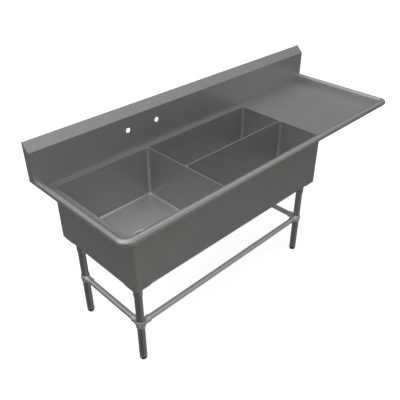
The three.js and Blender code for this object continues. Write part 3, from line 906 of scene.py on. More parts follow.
class SINK_OT_rim(bpy.types.Operator):
    """Makes the rolled rim as one sheet swept round the left, front and right edges"""

    bl_idname = "sink.rim"
    bl_label = "Rolled rim"

    def execute(self, context):
        sheet = context.scene.sink_sheet
        settings = context.scene.sink_rim
        left, right = extent("rim_left"), extent("rim_right")
        near, far = extent("rim_corner_left"), extent("rim_corner_right")
        deck_top = extent("deck_frame").z1
        radius = (left.x1 - left.x0) / 2
        rise = left.z1 - deck_top - radius
        cove = sheet.upstand_cove
        t = sheet.thickness
        steps = settings.roll_steps
        sweep = math.pi + settings.undertuck
        line = cove_arc(0, 0, cove)
        line.append(Vector((0, cove + 0.0006)))
        line.append(Vector((0, rise - 0.0006)))
        turns = [math.pi - i / steps * sweep for i in range(steps + 1)]
        line += [Vector((radius + radius * math.cos(a), rise + radius * math.sin(a))) for a in turns]
        inner = radius - t
        back = [Vector((radius + inner * math.cos(a), rise + inner * math.sin(a))) for a in turns]
        section = line + back[::-1] + [Vector((t, 0.0))]

        up = Vector((0, 0, 1))
        wall = left.x1
        places = []

        def station(x, y, angle):
            out = Vector((math.cos(angle), math.sin(angle), 0))
            places.append((Vector((x, y, deck_top)), out, up))

        def corner(cx, cy, reach, start):
            for turned in quarter(12):
                angle = start + turned
                station(cx + reach * math.cos(angle), cy + reach * math.sin(angle), angle)

        rear = extent("backsplash_panel").y0
        guard = 0.0008
        station(wall, rear, math.pi)
        station(wall, near.y1 + guard, math.pi)
        corner(near.x1, near.y1, near.x1 - wall, math.pi)
        station(near.x1 + guard, extent("rim_front").y1, -math.pi / 2)
        station(far.x0 - guard, extent("rim_front").y1, -math.pi / 2)
        corner(far.x0, far.y1, right.x0 - far.x0, -math.pi / 2)
        station(right.x0, far.y1 + guard, 0)
        station(right.x0, rear, 0)
        made = make_object("rolled_rim", *swept(section, places), finish("blended_rim_painted_highlight"))
        stand_for(
            made, "stainless_sheet",
            "rim_left", "rim_front", "rim_right", "rim_corner_left", "rim_corner_right",
        )
        return {"FINISHED"}


# ---------------------------------------------------------------- backsplash


class SINK_OT_backsplash(bpy.types.Operator):
    """Makes the boxed backsplash with its sloping return, its end plates and its faucet holes"""

    bl_idname = "sink.backsplash"
    bl_label = "Backsplash"

    def execute(self, context):
        sheet = context.scene.sink_sheet
        panel = extent("backsplash_panel")
        plate = extent("backsplash_end_left")
        deck_top = extent("deck_frame").z1
        cove = sheet.upstand_cove
        t = sheet.thickness
        slope = panel.z1 - sheet.slope_height
        face = bent(
            [(panel.y0, deck_top + cove + 0.001), (panel.y0, slope), (panel.y1, panel.z1),
             (panel.y1, panel.z1 - 0.025)],
            sheet.fold, 6,
        )
        inner = left_of(face, -t)
        section = cove_arc(panel.y0, deck_top, cove) + face + inner[::-1]
        section.append(Vector((panel.y0 + t, deck_top)))
        skin = straight(section, (panel.x0, panel.x1))
        made = make_object("backsplash_sheet", *skin, finish("satin_sheet"))
        cutters = []
        for i, hole in enumerate(faucet_holes()):
            lay = Matrix.Rotation(math.pi / 2, 4, "X")
            skin = spin(
                [(0, -0.01), (FAUCET_HOLE, -0.01), (FAUCET_HOLE, 0.01), (0, 0.01)], hole, 48, False, lay
            )
            cutters.append(make_object("punch_%d" % i, *skin, finish("satin_sheet")))
        roll = extent("rim_left").x1
        for x0, x1 in ((panel.x0 - 0.01, roll), (extent("rim_right").x0, panel.x1 + 0.01)):
            notch = plate_skin(
                [Vector(p) for p in (
                    (x0, panel.y0 - 0.02), (x1, panel.y0 - 0.02), (x1, panel.y1), (x0, panel.y1)
                )],
                deck_top - 0.01, plate.z0, 1e-6,
            )
            cutters.append(make_object("notch", *notch, finish("satin_sheet")))
        shaped(made, *[
            ("BOOLEAN", {"object": c, "operation": "DIFFERENCE", "solver": "EXACT"}) for c in cutters
        ])
        for cutter in cutters:
            bpy.data.objects.remove(cutter)
        made.data.set_sharp_from_angle(angle=math.radians(SHARP))
        stand_for(made, "stainless_sheet", "backsplash_panel")

        for side in ("left", "right"):
            plate = extent("backsplash_end_" + side)
            corners = [
                Vector((plate.y0, plate.z0)), Vector((plate.y1, plate.z0)),
                Vector((plate.y1, plate.z1)), Vector((plate.y0, slope)),
            ]
            centre = sum(corners, Vector((0, 0))) / 4
            edge = 0.0004
            small = [p + (centre - p).normalized() * edge for p in corners]
            rings = []
            for x, loop in (
                (plate.x0, small), (plate.x0 + edge, corners), (plate.x1 - edge, corners),
                (plate.x1, small),
            ):
                rings.append([Vector((x, p.x, p.y)) for p in loop])
            skin = loft(rings, close_rows=False)
            made = make_object("end_plate_" + side, *skin, finish("satin_end_plate"), 25)
            stand_for(made, "stainless_sheet", "backsplash_end_" + side)
        return {"FINISHED"}


def faucet_holes():
    """Centres of the two faucet holes, from the frame's own notes on where a faucet mounts."""
    mount = next(m for m in frame["record"]["mounts"] if m["name"] == "faucet_face")
    place = Vector(mount["pos_m"])
    return [place + Vector((side * HALF_FAUCET_CENTRES, 0, 0)) for side in (-1, 1)]


# ---------------------------------------------------------------- skirt


class SINK_OT_skirt(bpy.types.Operator):
    """Makes the skirt round the tub, hemmed along the bottom, and its rear panel"""

    bl_idname = "sink.skirt"
    bl_label = "Skirt"

    def execute(self, context):
        sheet = context.scene.sink_sheet
        skirt = extent("apron")
        rear = extent("apron_rear")
        t = sheet.thickness
        line = bent(
            [(0, skirt.z1), (0, skirt.z0), (sheet.skirt_return, skirt.z0)], sheet.fold, 6
        )
        section = sheet_section(line, t)
        corner = 11  # points round each front corner

        def run(inset):
            """The skirt's line from one rear end round the front to the other, with no rear side."""
            points = rounded_rectangle(
                skirt.x0 + inset, skirt.x1 - inset, skirt.y0 + inset, skirt.y1 + 1,
                SKIRT_CORNER - inset, corner - 1, 1,
            )
            arcs = points[-corner:] + points[:corner]
            rear_edge = skirt.y1
            first = Vector((arcs[0].x, rear_edge))
            last = Vector((arcs[-1].x, rear_edge))
            before = arcs[0] + Vector((0, 0.001))
            after = arcs[-1] + Vector((0, 0.001))
            near = arcs[corner - 1] + Vector((0.001, 0))
            far = arcs[corner] - Vector((0.001, 0))
            return [first, before, *arcs[:corner], near, far, *arcs[corner:], after, last]

        rings = [at_height(run(p.x), p.y) for p in section]
        made = make_object("skirt", *loft(rings, True, True), finish("satin_sheet"))
        stand_for(made, "stainless_sheet", "apron")

        skin = straight(section, (rear.x0, rear.x1), rear.y1, facing=-1)
        made = make_object("skirt_rear", *skin, finish("satin_sheet"))
        stand_for(made, "stainless_sheet", "apron_rear")
        return {"FINISHED"}


# ---------------------------------------------------------------- drains


def lobed_ring(centre, radius, rise, lobes, z, count=160):
    """A ring with soft lugs round it."""
    points = []
    for i in range(count):
        angle = 2 * math.pi * i / count
        lug = 1 / (1 + math.exp(-9 * math.cos(lobes * angle)))
        reach = radius - rise + rise * lug
        points.append(Vector((
            centre.x + reach * math.cos(angle), centre.y + reach * math.sin(angle), z
        )))
    return points


class SINK_OT_drains(bpy.types.Operator):
    """Makes the drain bodies, their gaskets and their locknuts"""

    bl_idname = "sink.drains"
    bl_label = "Drains"

    def execute(self, context):
        for name in BOWLS:
            body = extent("drain_flange_" + name)
            place = under("drain_flange_" + name)
            top = body.z1
            reach = (body.x1 - body.x0) / 2
            cup = DRAIN_CUP
            seat = top - 0.0025
            # From the seat round the lip, down inside the cup to the tailpiece, and back up outside.
            profile = [
                (cup, seat), (reach - 0.0003, seat), (reach, seat + 0.0003),
                (reach - 0.0002, seat + 0.0009), (reach - 0.0012, seat + 0.0018),
                (reach - 0.003, seat + 0.0024), (reach - 0.005, top),
                (cup + 0.0035, top), (cup + 0.0015, top - 0.0003), (cup, top - 0.0012),
                (cup - 0.0012, top - 0.003), (cup - 0.0023, top - 0.006), (0.0395, seat - 0.038),
                (0.0393, seat - 0.0395), (0.037, seat - 0.040), (0.0368, seat - 0.0405),
                (0.0365, seat - 0.050), (0.0355, seat - 0.0535), (0.033, seat - 0.0555),
                (0.024, seat - 0.058), (0.0215, seat - 0.0595), (0.0205, seat - 0.062),
                (0.0205, body.z0 + 0.0006), (0.0211, body.z0), (0.0234, body.z0),
                (SPIGOT, body.z0 + 0.0006), (SPIGOT, seat - 0.064), (0.0245, seat - 0.062),
                (0.0265, seat - 0.0605), (0.039, seat - 0.0572), (0.0412, seat - 0.0562),
                (cup, seat - 0.054),
            ]
            skin = spin(profile, place, 64)
            made = make_object("drain_body_" + name, *skin, finish("turned_drain_steel"), 50)
            stand_for(made, "drain_steel", "drain_flange_" + name)

            ring = extent("drain_gasket_" + name)
            out = (ring.x1 - ring.x0) / 2
            profile = [
                (cup + 0.0004, ring.z0 + 0.0004), (cup + 0.0008, ring.z0), (out - 0.0010, ring.z0),
                (out - 0.0003, ring.z0 + 0.0005), (out, (ring.z0 + ring.z1) / 2),
                (out - 0.0003, ring.z1 - 0.0005), (out - 0.0010, ring.z1), (cup + 0.0008, ring.z1),
                (cup + 0.0004, ring.z1 - 0.0004),
            ]
            skin = spin(profile, place, 64)
            made = make_object("gasket_" + name, *skin, finish("gasket_rubber"))
            stand_for(made, "rubber", "drain_gasket_" + name)

            nut = extent("drain_locknut_" + name)
            out = (nut.x1 - nut.x0) / 2
            bore = DRAIN_CUP + FIT
            chamfer = 0.0009
            lug = 0.005
            rings = []
            for radius, rise, z in (
                (bore, 0, nut.z0 + 0.0004), (bore + 0.0006, 0, nut.z0), (out - chamfer, lug, nut.z0),
                (out, lug, nut.z0 + chamfer), (out, lug, nut.z1 - chamfer),
                (out - chamfer, lug, nut.z1), (bore + 0.0006, 0, nut.z1), (bore, 0, nut.z1 - 0.0004),
            ):
                rings.append(lobed_ring(place, radius, rise, 8, z))
            made = make_object("locknut_" + name, *loft(rings), finish("cast_aluminium"))
            stand_for(made, "cast_metal", "drain_locknut_" + name)
        return {"FINISHED"}


# ---------------------------------------------------------------- repeated details, by rule


def new_tree(name, sizes):
    """A Geometry Nodes tree with a geometry in and out and a named input for each size."""
    tree = bpy.data.node_groups.new(name, "GeometryNodeTree")
    tree.interface.new_socket("Geometry", in_out="INPUT", socket_type="NodeSocketGeometry")
    for label, kind in sizes.items():
        tree.interface.new_socket(label, in_out="INPUT", socket_type=kind)
    tree.interface.new_socket("Geometry", in_out="OUTPUT", socket_type="NodeSocketGeometry")
    return tree, node(tree, "NodeGroupInput").outputs


def close_tree(tree, geometry, material, smooth=True):
    """Ends a tree: copies made real, shaded, and given their finish."""
    real = node(tree, "GeometryNodeRealizeInstances", links={"Geometry": geometry})
    shade = node(
        tree, "GeometryNodeSetShadeSmooth", {"Shade Smooth": smooth},
        {"Geometry": real.outputs["Geometry"]},
    )
    painted = node(
        tree, "GeometryNodeSetMaterial", {"Material": material}, {"Geometry": shade.outputs["Geometry"]}
    )
    node(tree, "NodeGroupOutput", links={"Geometry": painted.outputs["Geometry"]})


def grown(name, tree, places, sizes, sharp=SHARP):
    """Runs a tree on an object whose points are the places, and keeps the result as a plain mesh."""
    mesh = bpy.data.meshes.new(name)
    mesh.from_pydata([tuple(p) for p in places], [], [])
    made = bpy.data.objects.new(name, mesh)
    bpy.context.scene.collection.objects.link(made)
    modifier = made.modifiers.new("rule", "NODES")
    modifier.node_group = tree
    for item in tree.interface.items_tree:
        if item.item_type == "SOCKET" and item.in_out == "INPUT" and item.name in sizes:
            modifier[item.identifier] = sizes[item.name]
    bpy.context.view_layer.update()
    graph = bpy.context.evaluated_depsgraph_get()
    result = bpy.data.meshes.new_from_object(made.evaluated_get(graph))
    made.modifiers.clear()
    made.data = result
    if not result.polygons:
        raise RuntimeError(name + " came out empty")
    result.set_sharp_from_angle(angle=math.radians(sharp))
    return made


def strainer_tree(rings, material):
    """A flat disc pierced by rings of round holes."""
    tree, size = new_tree("strainer_rule", {
        "Radius": "NodeSocketFloat", "Thickness": "NodeSocketFloat",
        "Hole Radius": "NodeSocketFloat", "Ring Step": "NodeSocketFloat",
    })
    disc = node(
        tree, "GeometryNodeMeshCylinder", {"Vertices": 64},
        {"Radius": size["Radius"], "Depth": size["Thickness"]},
    )
    tall = node(
        tree, "ShaderNodeMath", {1: 4.0}, {0: size["Thickness"]}, operation="MULTIPLY"
    )
    punch = node(
        tree, "GeometryNodeMeshCylinder", {"Vertices": 14},
        {"Radius": size["Hole Radius"], "Depth": tall.outputs[0]},
    )
    centre = node(tree, "GeometryNodeMeshLine", {"Count": 1})
    spots = node(tree, "GeometryNodeJoinGeometry", links={0: centre.outputs["Mesh"]})
    for ring in range(1, rings + 1):
        reach = node(
            tree, "ShaderNodeMath", {1: float(ring)}, {0: size["Ring Step"]}, operation="MULTIPLY"
        )
        circle = node(
            tree, "GeometryNodeMeshCircle", {"Vertices": 6 * ring}, {"Radius": reach.outputs[0]}
        )
        tree.links.new(circle.outputs["Mesh"], spots.inputs[0])
    holes = node(
        tree, "GeometryNodeInstanceOnPoints",
        links={"Points": spots.outputs[0], "Instance": punch.outputs["Mesh"]},
    )
    real = node(tree, "GeometryNodeRealizeInstances", links={"Geometry": holes.outputs["Instances"]})
    pierced = node(
        tree, "GeometryNodeMeshBoolean",
        links={"Mesh 1": disc.outputs["Mesh"], "Mesh 2": real.outputs["Geometry"]},
        operation="DIFFERENCE",
    )
    placed = node(
        tree, "GeometryNodeInstanceOnPoints",
        links={"Points": size["Geometry"], "Instance": pierced.outputs["Mesh"]},
    )
    close_tree(tree, placed.outputs["Instances"], material, False)
    return tree


class SINK_OT_strainers(bpy.types.Operator):
    """Makes the perforated strainer in each drain"""

    bl_idname = "sink.strainers"
    bl_label = "Strainers"

    def execute(self, context):
        drain = context.scene.sink_drain
        tree = strainer_tree(drain.hole_rings, finish("turned_drain_steel"))
        for name in BOWLS:
            disc = extent("drain_strainer_" + name)
            sizes = {
                "Radius": (disc.x1 - disc.x0) / 2, "Thickness": disc.z1 - disc.z0,
                "Hole Radius": drain.hole_radius, "Ring Step": drain.ring_step,
            }
            made = grown("strainer_" + name, tree, [middle("drain_strainer_" + name)], sizes)
            stand_for(made, "drain_steel", "drain_strainer_" + name)
        return {"FINISHED"}


def weld_tree(material):
    """A ring of overlapping ripples round each point."""
    tree, size = new_tree("weld_rule", {
        "Ring Radius": "NodeSocketFloat", "Bead Radius": "NodeSocketFloat", "Ripples": "NodeSocketInt",
    })
    bead = node(
        tree, "GeometryNodeMeshUVSphere", {"Segments": 10, "Rings": 7}, {"Radius": size["Bead Radius"]}
    )
    circle = node(
        tree, "GeometryNodeMeshCircle",
        links={"Vertices": size["Ripples"], "Radius": size["Ring Radius"]},
    )
    ring = node(
        tree, "GeometryNodeInstanceOnPoints",
        links={"Points": circle.outputs["Mesh"], "Instance": bead.outputs["Mesh"]},
    )
    placed = node(
        tree, "GeometryNodeInstanceOnPoints",
        links={"Points": size["Geometry"], "Instance": ring.outputs["Instances"]},
    )
    close_tree(tree, placed.outputs["Instances"], material)
    return tree


class SINK_OT_welds(bpy.types.Operator):
    """Makes the rippled weld where each leg socket meets its plate"""

    bl_idname = "sink.welds"
    bl_label = "Welds"

    def execute(self, context):
        legs = context.scene.sink_leg
        places = []
        for name in LEGS:
            socket = extent("leg_socket_" + name)
            leg = middle("leg_" + name)
            places.append((leg.x, leg.y, socket.z1 - WELD_DEPTH))
        sizes = {
            "Ring Radius": WELD_RADIUS, "Bead Radius": legs.bead_radius, "Ripples": legs.bead_count,
        }
        made = grown("socket_welds", weld_tree(finish("welded_steel")), places, sizes, 60)
        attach(made, "sink")
        return {"FINISHED"}


def thread_tree(material):
    """A plain core with a ridge wound round it."""
    tree, size = new_tree("thread_rule", {
        "Radius": "NodeSocketFloat", "Pitch": "NodeSocketFloat", "Length": "NodeSocketFloat",
    })
    turns = node(
        tree, "ShaderNodeMath", links={0: size["Length"], 1: size["Pitch"]}, operation="DIVIDE"
    )
    depth = node(tree, "ShaderNodeMath", {1: 0.5}, {0: size["Pitch"]}, operation="MULTIPLY")
    core_radius = node(
        tree, "ShaderNodeMath", links={0: size["Radius"], 1: depth.outputs[0]}, operation="SUBTRACT"
    )
    coil = node(
        tree, "GeometryNodeCurveSpiral", {"Resolution": 20},
        {
            "Rotations": turns.outputs[0], "Start Radius": core_radius.outputs[0],
            "End Radius": core_radius.outputs[0], "Height": size["Length"],
        },
    )
    ridge = node(
        tree, "GeometryNodeCurvePrimitiveCircle", {"Resolution": 4}, {"Radius": depth.outputs[0]}
    )
    wound = node(
        tree, "GeometryNodeCurveToMesh", {"Fill Caps": True},
        {"Curve": coil.outputs["Curve"], "Profile Curve": ridge.outputs["Curve"]},
    )
    core = node(
        tree, "GeometryNodeMeshCylinder", {"Vertices": 32},
        {"Radius": core_radius.outputs[0], "Depth": size["Length"]},
    )
    half = node(tree, "ShaderNodeMath", {1: 0.5}, {0: size["Length"]}, operation="MULTIPLY")
    lift = node(tree, "ShaderNodeCombineXYZ", links={"Z": half.outputs[0]})
    raised = node(
        tree, "GeometryNodeTransform",
        links={"Geometry": core.outputs["Mesh"], "Translation": lift.outputs["Vector"]},
    )
    both = node(tree, "GeometryNodeJoinGeometry", links={0: wound.outputs["Mesh"]})
    tree.links.new(raised.outputs["Geometry"], both.inputs[0])
    placed = node(
        tree, "GeometryNodeInstanceOnPoints",
        links={"Points": size["Geometry"], "Instance": both.outputs["Geometry"]},
    )
    close_tree(tree, placed.outputs["Instances"], material)
    return tree


class SINK_OT_feet(bpy.types.Operator):
    """Makes the moulded feet and their threaded stems, which screw into the legs"""

    bl_idname = "sink.feet"
    bl_label = "Feet"

    def execute(self, context):
        legs = context.scene.sink_leg
        tree = thread_tree(finish("zinc_plate"))
        for name in LEGS:
            foot = extent("foot_" + name)
            place = under("foot_" + name)
            reach = (foot.x1 - foot.x0) / 2
            height = extent("foot_insert_" + name).z0 - FIT
            profile = [(0, 0.0), (reach * 0.44, 0.0), (reach * 0.5, 0.0003)]
            for angle in quarter(10)[1:]:
                profile.append((
                    reach * (0.5 + 0.5 * math.sin(angle)), (height - 0.006) * (1 - math.cos(angle))
                ))
            profile += [
                (reach, height - 0.0048), (reach - 0.0007, height - 0.0042),
                (reach - 0.0007, height - 0.0032), (reach, height - 0.0026), (reach, height - 0.0005),
                (reach - 0.0006, height), (0.0, height),
            ]
            skin = spin(profile, place, 48, False)
            made = make_object("bullet_foot_" + name, *skin, finish("moulded_nylon"))
            stand_for(made, "black_plastic", "foot_" + name)
            start = place + Vector((0, 0, height - STEM_SUNK))
            sizes = {
                "Radius": STEM_RADIUS, "Pitch": legs.thread_pitch, "Length": foot.z1 - height - STEM_SUNK,
            }
            stem = grown("foot_stem_" + name, tree, [start], sizes, 30)
            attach(stem, BODY_OF["foot_" + name])
        return {"FINISHED"}


# ---------------------------------------------------------------- legs


def tube_profile(outer, wall, length, edge=0.0004):
    """The wall of a tube with eased ends, from nought to its length."""
    inner = outer - wall
    return [
        (inner, edge), (inner + edge, 0), (outer - edge, 0), (outer, edge),
        (outer, length - edge), (outer - edge, length), (inner + edge, length), (inner, length - edge),
    ]


class SINK_OT_legs(bpy.types.Operator):
    """Makes the leg plates and sockets, the leg tubes and the inserts that take the feet"""

    bl_idname = "sink.legs"
    bl_label = "Legs"

    def execute(self, context):
        for name in LEGS:
            leg = extent("leg_" + name)
            place = under("leg_" + name)
            foot = place + Vector((0, 0, leg.z0))
            reach = (leg.x1 - leg.x0) / 2
            skin = spin(tube_profile(reach, LEG_WALL, leg.z1 - leg.z0), foot, 48)
            made = make_object("leg_tube_" + name, *skin, finish("brushed_leg_tube"))
            stand_for(made, "stainless_tube", "leg_" + name)

            socket = extent("leg_socket_" + name)
            outline = rounded_rectangle(socket.x0, socket.x1, socket.y0, socket.y1, 0.020, 8, 1)
            top = socket.z1 - SOCKET_PLATE
            plate = plate_skin(outline, top, socket.z1, 0.0004)
            bore = reach + FIT
            outer = bore + SOCKET_WALL
            profile = [
                (bore, socket.z0 + 0.0006), (bore + 0.0006, socket.z0), (outer - 0.001, socket.z0),
                (outer - 0.0003, socket.z0 + 0.0003), (outer, socket.z0 + 0.001),
                (outer, top), (bore, top),
            ]
            sleeve = spin(profile, place, 48)
            made = make_object(
                "leg_socket_piece_" + name, *joined(plate, sleeve), finish("brushed_leg_tube")
            )
            stand_for(made, "stainless_tube", "leg_socket_" + name)

            insert = extent("foot_insert_" + name)
            base = insert.z0
            plug = reach - LEG_WALL - FIT
            hole = STEM_RADIUS + FIT
            profile = [
                (hole, base + 0.0005), (hole + 0.0005, base), (reach - 0.0006, base),
                (reach, base + 0.0006), (reach, base + 0.0034), (reach - 0.0006, base + 0.004),
                (plug, base + 0.004), (plug, insert.z1 - 0.001), (plug - 0.001, insert.z1),
                (hole, insert.z1),
            ]
            skin = spin(profile, place, 48)
            made = make_object("insert_" + name, *skin, finish("zinc_plate"))
            stand_for(made, "zinc_plate", "foot_insert_" + name)
        return {"FINISHED"}


# ---------------------------------------------------------------- rails and their fittings

AXES = {"x": Vector((1, 0, 0)), "y": Vector((0, 1, 0))}


def turn_to(direction):
    """The turn that lays an upright body along a direction."""
    return Vector((0, 0, 1)).rotation_difference(direction).to_matrix().to_4x4()


def rail_axis(box):
    """The direction in which a rail runs, and its length."""
    long_x, long_y = box.x1 - box.x0, box.y1 - box.y0
    return (AXES["x"], long_x) if long_x > long_y else (AXES["y"], long_y)


def rails_at(leg):
    """Directions in which rails leave a leg, found from the frame's own rails."""
    place = middle("leg_" + leg)
    found = []
    for rail in RAILS:
        axis, _ = rail_axis(extent(rail))
        away = middle(rail) - place
        across = away - axis * away.dot(axis)
        if Vector((across.x, across.y)).length < 0.01:
            found.append(axis * math.copysign(1, away.dot(axis)))
    return found


def screw_direction(leg):
    """The level direction in which a leg's clamp screw points out of its fitting."""
    screw, tube = middle("fitting_screw_" + leg), middle("leg_" + leg)
    return Vector((screw.x - tube.x, screw.y - tube.y, 0)).normalized()


class SINK_OT_rails(bpy.types.Operator):
    """Makes the cross rails and the cast fittings that clamp them to the legs"""

    bl_idname = "sink.rails"
    bl_label = "Rails and fittings"

    def execute(self, context):
        for rail in RAILS:
            box = extent(rail)
            axis, length = rail_axis(box)
            start = middle(rail) - axis * (length / 2)
            reach = (box.z1 - box.z0) / 2
            skin = spin(tube_profile(reach, RAIL_WALL, length), start, 40, True, turn_to(axis))
            made = make_object(rail + "_tube", *skin, finish("rail_tube_painted_highlight"))
            stand_for(made, "stainless_tube", rail)
        for leg in LEGS:
            self.make_fitting(context, leg)
        return {"FINISHED"}

    def make_fitting(self, context, leg):
        """One cast collar with a socket for each rail, its edges blended as a casting's are."""
        voxel = context.scene.sink_leg.casting_voxel
        tube = extent("leg_" + leg)
        collar = extent("rail_fitting_" + leg)
        place = middle("leg_" + leg)
        level = middle("rail_left").z
        centre = Vector((place.x, place.y, level))
        bore = (tube.x1 - tube.x0) / 2 + FIT
        rim = bore + COLLAR_WALL
        half = (collar.z1 - collar.z0) / 2
        band = 0.0012
        profile = [
            (0, -half), (rim - 0.002, -half), (rim, -half + 0.002), (rim, -half + 0.007),
            (rim - band, -half + 0.0085), (rim - band, half - 0.0085), (rim, half - 0.007),
            (rim, half - 0.002), (rim - 0.002, half), (0, half),
        ]
        material = finish("cast_aluminium")
        made = make_object("rail_collar_" + leg, *spin(profile, centre, 64, False), material)
        adds, cuts = [], []

        def drill(radius, start, end, segments, turn=None):
            line = [(0, start), (radius, start), (radius, end), (0, end)]
            cuts.append(make_object("cutter", *spin(line, centre, segments, False, turn), material))

        rail_radius = (extent("rail_left").z1 - extent("rail_left").z0) / 2
        for direction in rails_at(leg):
            turn = turn_to(direction)
            root, mouth = rail_radius + 0.0035, rail_radius + 0.0048
            skin = spin(
                [(0, 0), (root + 0.003, 0), (root + 0.002, 0.024), (root, 0.029), (root, 0.047),
                 (mouth, 0.0485), (mouth, 0.0545), (mouth - 0.0012, 0.0558), (0, 0.0558)],
                centre, 48, False, turn,
            )
            adds.append(make_object("adder", *skin, material))
            drill(rail_radius + FIT, 0.028, 0.07, 48, turn)
        turn = turn_to(screw_direction(leg))
        skin = spin(
            [(0, 0.020), (0.0058, 0.020), (0.0058, 0.0262), (0.0048, 0.0272), (0, 0.0272)],
            centre, 32, False, turn,
        )
        adds.append(make_object("adder", *skin, material))
        drill(SCREW_RADIUS + FIT, 0.01, 0.04, 24, turn)
        drill(bore, -half - 0.01, half + 0.01, 64)
        steps = [("BOOLEAN", {"object": a, "operation": "UNION", "solver": "EXACT"}) for a in adds]
        steps += [("BOOLEAN", {"object": c, "operation": "DIFFERENCE", "solver": "EXACT"}) for c in cuts]
        steps += [
            ("REMESH", {"mode": "VOXEL", "voxel_size": voxel, "use_smooth_shade": True}),
            ("SMOOTH", {"factor": 0.5, "iterations": 3}),
            ("DECIMATE", {"ratio": 0.35}),
        ]
        shaped(made, *steps)
        for tool in adds + cuts:
            bpy.data.objects.remove(tool)
        made.data.materials.clear()
        made.data.materials.append(material)
        made.data.shade_smooth()
        stand_for(made, "cast_metal", "rail_fitting_" + leg)


def screw_tree(material):
    """A set screw, a plain cylinder with a hexagon socket, laid along a turn given in radians."""
    tree, size = new_tree("screw_rule", {
        "Radius": "NodeSocketFloat", "Length": "NodeSocketFloat", "Turn": "NodeSocketFloat",
    })
    body = node(
        tree, "GeometryNodeMeshCylinder", {"Vertices": 24},
        {"Radius": size["Radius"], "Depth": size["Length"]},
    )
    key = node(tree, "ShaderNodeMath", {1: 0.55}, {0: size["Radius"]}, operation="MULTIPLY")
    socket = node(
        tree, "GeometryNodeMeshCylinder", {"Vertices": 6},
        {"Radius": key.outputs[0], "Depth": size["Length"]},
    )
    rise = node(tree, "ShaderNodeMath", {1: 0.7}, {0: size["Length"]}, operation="MULTIPLY")
    lift = node(tree, "ShaderNodeCombineXYZ", links={"Z": rise.outputs[0]})
    raised = node(
        tree, "GeometryNodeTransform",
        links={"Geometry": socket.outputs["Mesh"], "Translation": lift.outputs["Vector"]},
    )
    cut = node(
        tree, "GeometryNodeMeshBoolean",
        links={"Mesh 1": body.outputs["Mesh"], "Mesh 2": raised.outputs["Geometry"]},
        operation="DIFFERENCE",
    )
    angles = node(tree, "ShaderNodeCombineXYZ", {"Y": math.pi / 2}, {"Z": size["Turn"]})
    placed = node(
        tree, "GeometryNodeInstanceOnPoints",
        links={
            "Points": size["Geometry"], "Instance": cut.outputs["Mesh"],
            "Rotation": angles.outputs["Vector"],
        },
    )
    close_tree(tree, placed.outputs["Instances"], material)
    return tree


class SINK_OT_screws(bpy.types.Operator):
    """Makes the socket set screw that clamps each fitting to its leg"""

    bl_idname = "sink.screws"
    bl_label = "Clamp screws"

    def execute(self, context):
        tree = screw_tree(finish("zinc_plate"))
        for leg in LEGS:
            box = extent("fitting_screw_" + leg)
            out = screw_direction(leg)
            sizes = {
                "Radius": (box.z1 - box.z0) / 2, "Length": SCREW_LENGTH, "Turn": math.atan2(out.y, out.x),
            }
            made = grown("clamp_screw_" + leg, tree, [middle("fitting_screw_" + leg)], sizes, 30)
            stand_for(made, "zinc_plate", "fitting_screw_" + leg)
        return {"FINISHED"}


# ---------------------------------------------------------------- stage


# Soft panels round the studio: azimuth and elevation in degrees, and red, green and blue strength.
# Azimuth runs from +X towards +Y.
PANELS = (
    (0, 90, (0.58, 0.59, 0.64)),
    (0, 60, (0.54, 0.55, 0.58)),
    (90, 60, (0.44, 0.43, 0.45)),
    (180, 60, (0.83, 0.83, 0.93)),
    (-90, 60, (0.21, 0.22, 0.27)),
    (0, 30, (0.24, 0.26, 0.28)),
    (45, 30, (0.16, 0.15, 0.15)),
    (90, 30, (0.21, 0.20, 0.19)),
    (135, 30, (0.36, 0.37, 0.38)),
    (180, 30, (0.67, 0.67, 0.74)),
    (-135, 30, (0.73, 0.74, 0.78)),
    (-90, 30, (0.45, 0.47, 0.40)),
    (-45, 30, (0.23, 0.22, 0.26)),
    (60, 0, (0.07, 0.07, 0.06)),
    (120, 0, (0.12, 0.13, 0.12)),
    (180, 0, (0.23, 0.22, 0.25)),
    (-120, 0, (0.29, 0.29, 0.26)),
    (-60, 0, (0.46, 0.47, 0.46)),
    (45, -30, (0.59, 0.59, 0.60)),
    (90, -30, (0.15, 0.14, 0.15)),
    (135, -30, (0.01, 0.00, 0.02)),
    (180, -30, (0.10, 0.10, 0.08)),
    (-90, -30, (0.15, 0.16, 0.14)),
    (45, -60, (0.51, 0.51, 0.54)),
    (135, -60, (0.10, 0.11, 0.09)),
    (-135, -60, (0.01, 0.01, 0.03)),
    (-45, -60, (0.23, 0.22, 0.22)),
    (0, -90, (0.14, 0.15, 0.15)),
)
# How fast a panel's light falls off round its direction.
TIGHTNESS = 10.0


def studio_sky(world):
    """A grey room lit by broad soft panels, each a smooth patch of brightness in one direction."""
    world.use_nodes = True
    tree = world.node_tree
    tree.nodes.clear()
    place = node(tree, "ShaderNodeTexCoord").outputs["Generated"]
    total = None
    for azimuth, elevation, level in PANELS:
        turn, rise = math.radians(azimuth), math.radians(elevation)
        towards = (math.cos(turn) * math.cos(rise), math.sin(turn) * math.cos(rise), math.sin(rise))
        facing = node(
            tree, "ShaderNodeVectorMath", {1: towards}, {0: place}, operation="DOT_PRODUCT"
        )
        lit = node(
            tree, "ShaderNodeMath", {1: 0.0}, {0: facing.outputs["Value"]}, operation="MAXIMUM"
        )
        patch = node(tree, "ShaderNodeMath", {1: TIGHTNESS}, {0: lit.outputs[0]}, operation="POWER")
        terms = {0: patch.outputs[0]}
        if total is not None:
            terms[2] = total.outputs["Vector"]
        total = node(tree, "ShaderNodeVectorMath", {1: level}, terms, operation="MULTIPLY_ADD")
    back = node(
        tree, "ShaderNodeBackground", {"Strength": 1.0}, {"Color": total.outputs["Vector"]}
    )
    node(tree, "ShaderNodeOutputWorld", links={"Surface": back.outputs["Background"]})


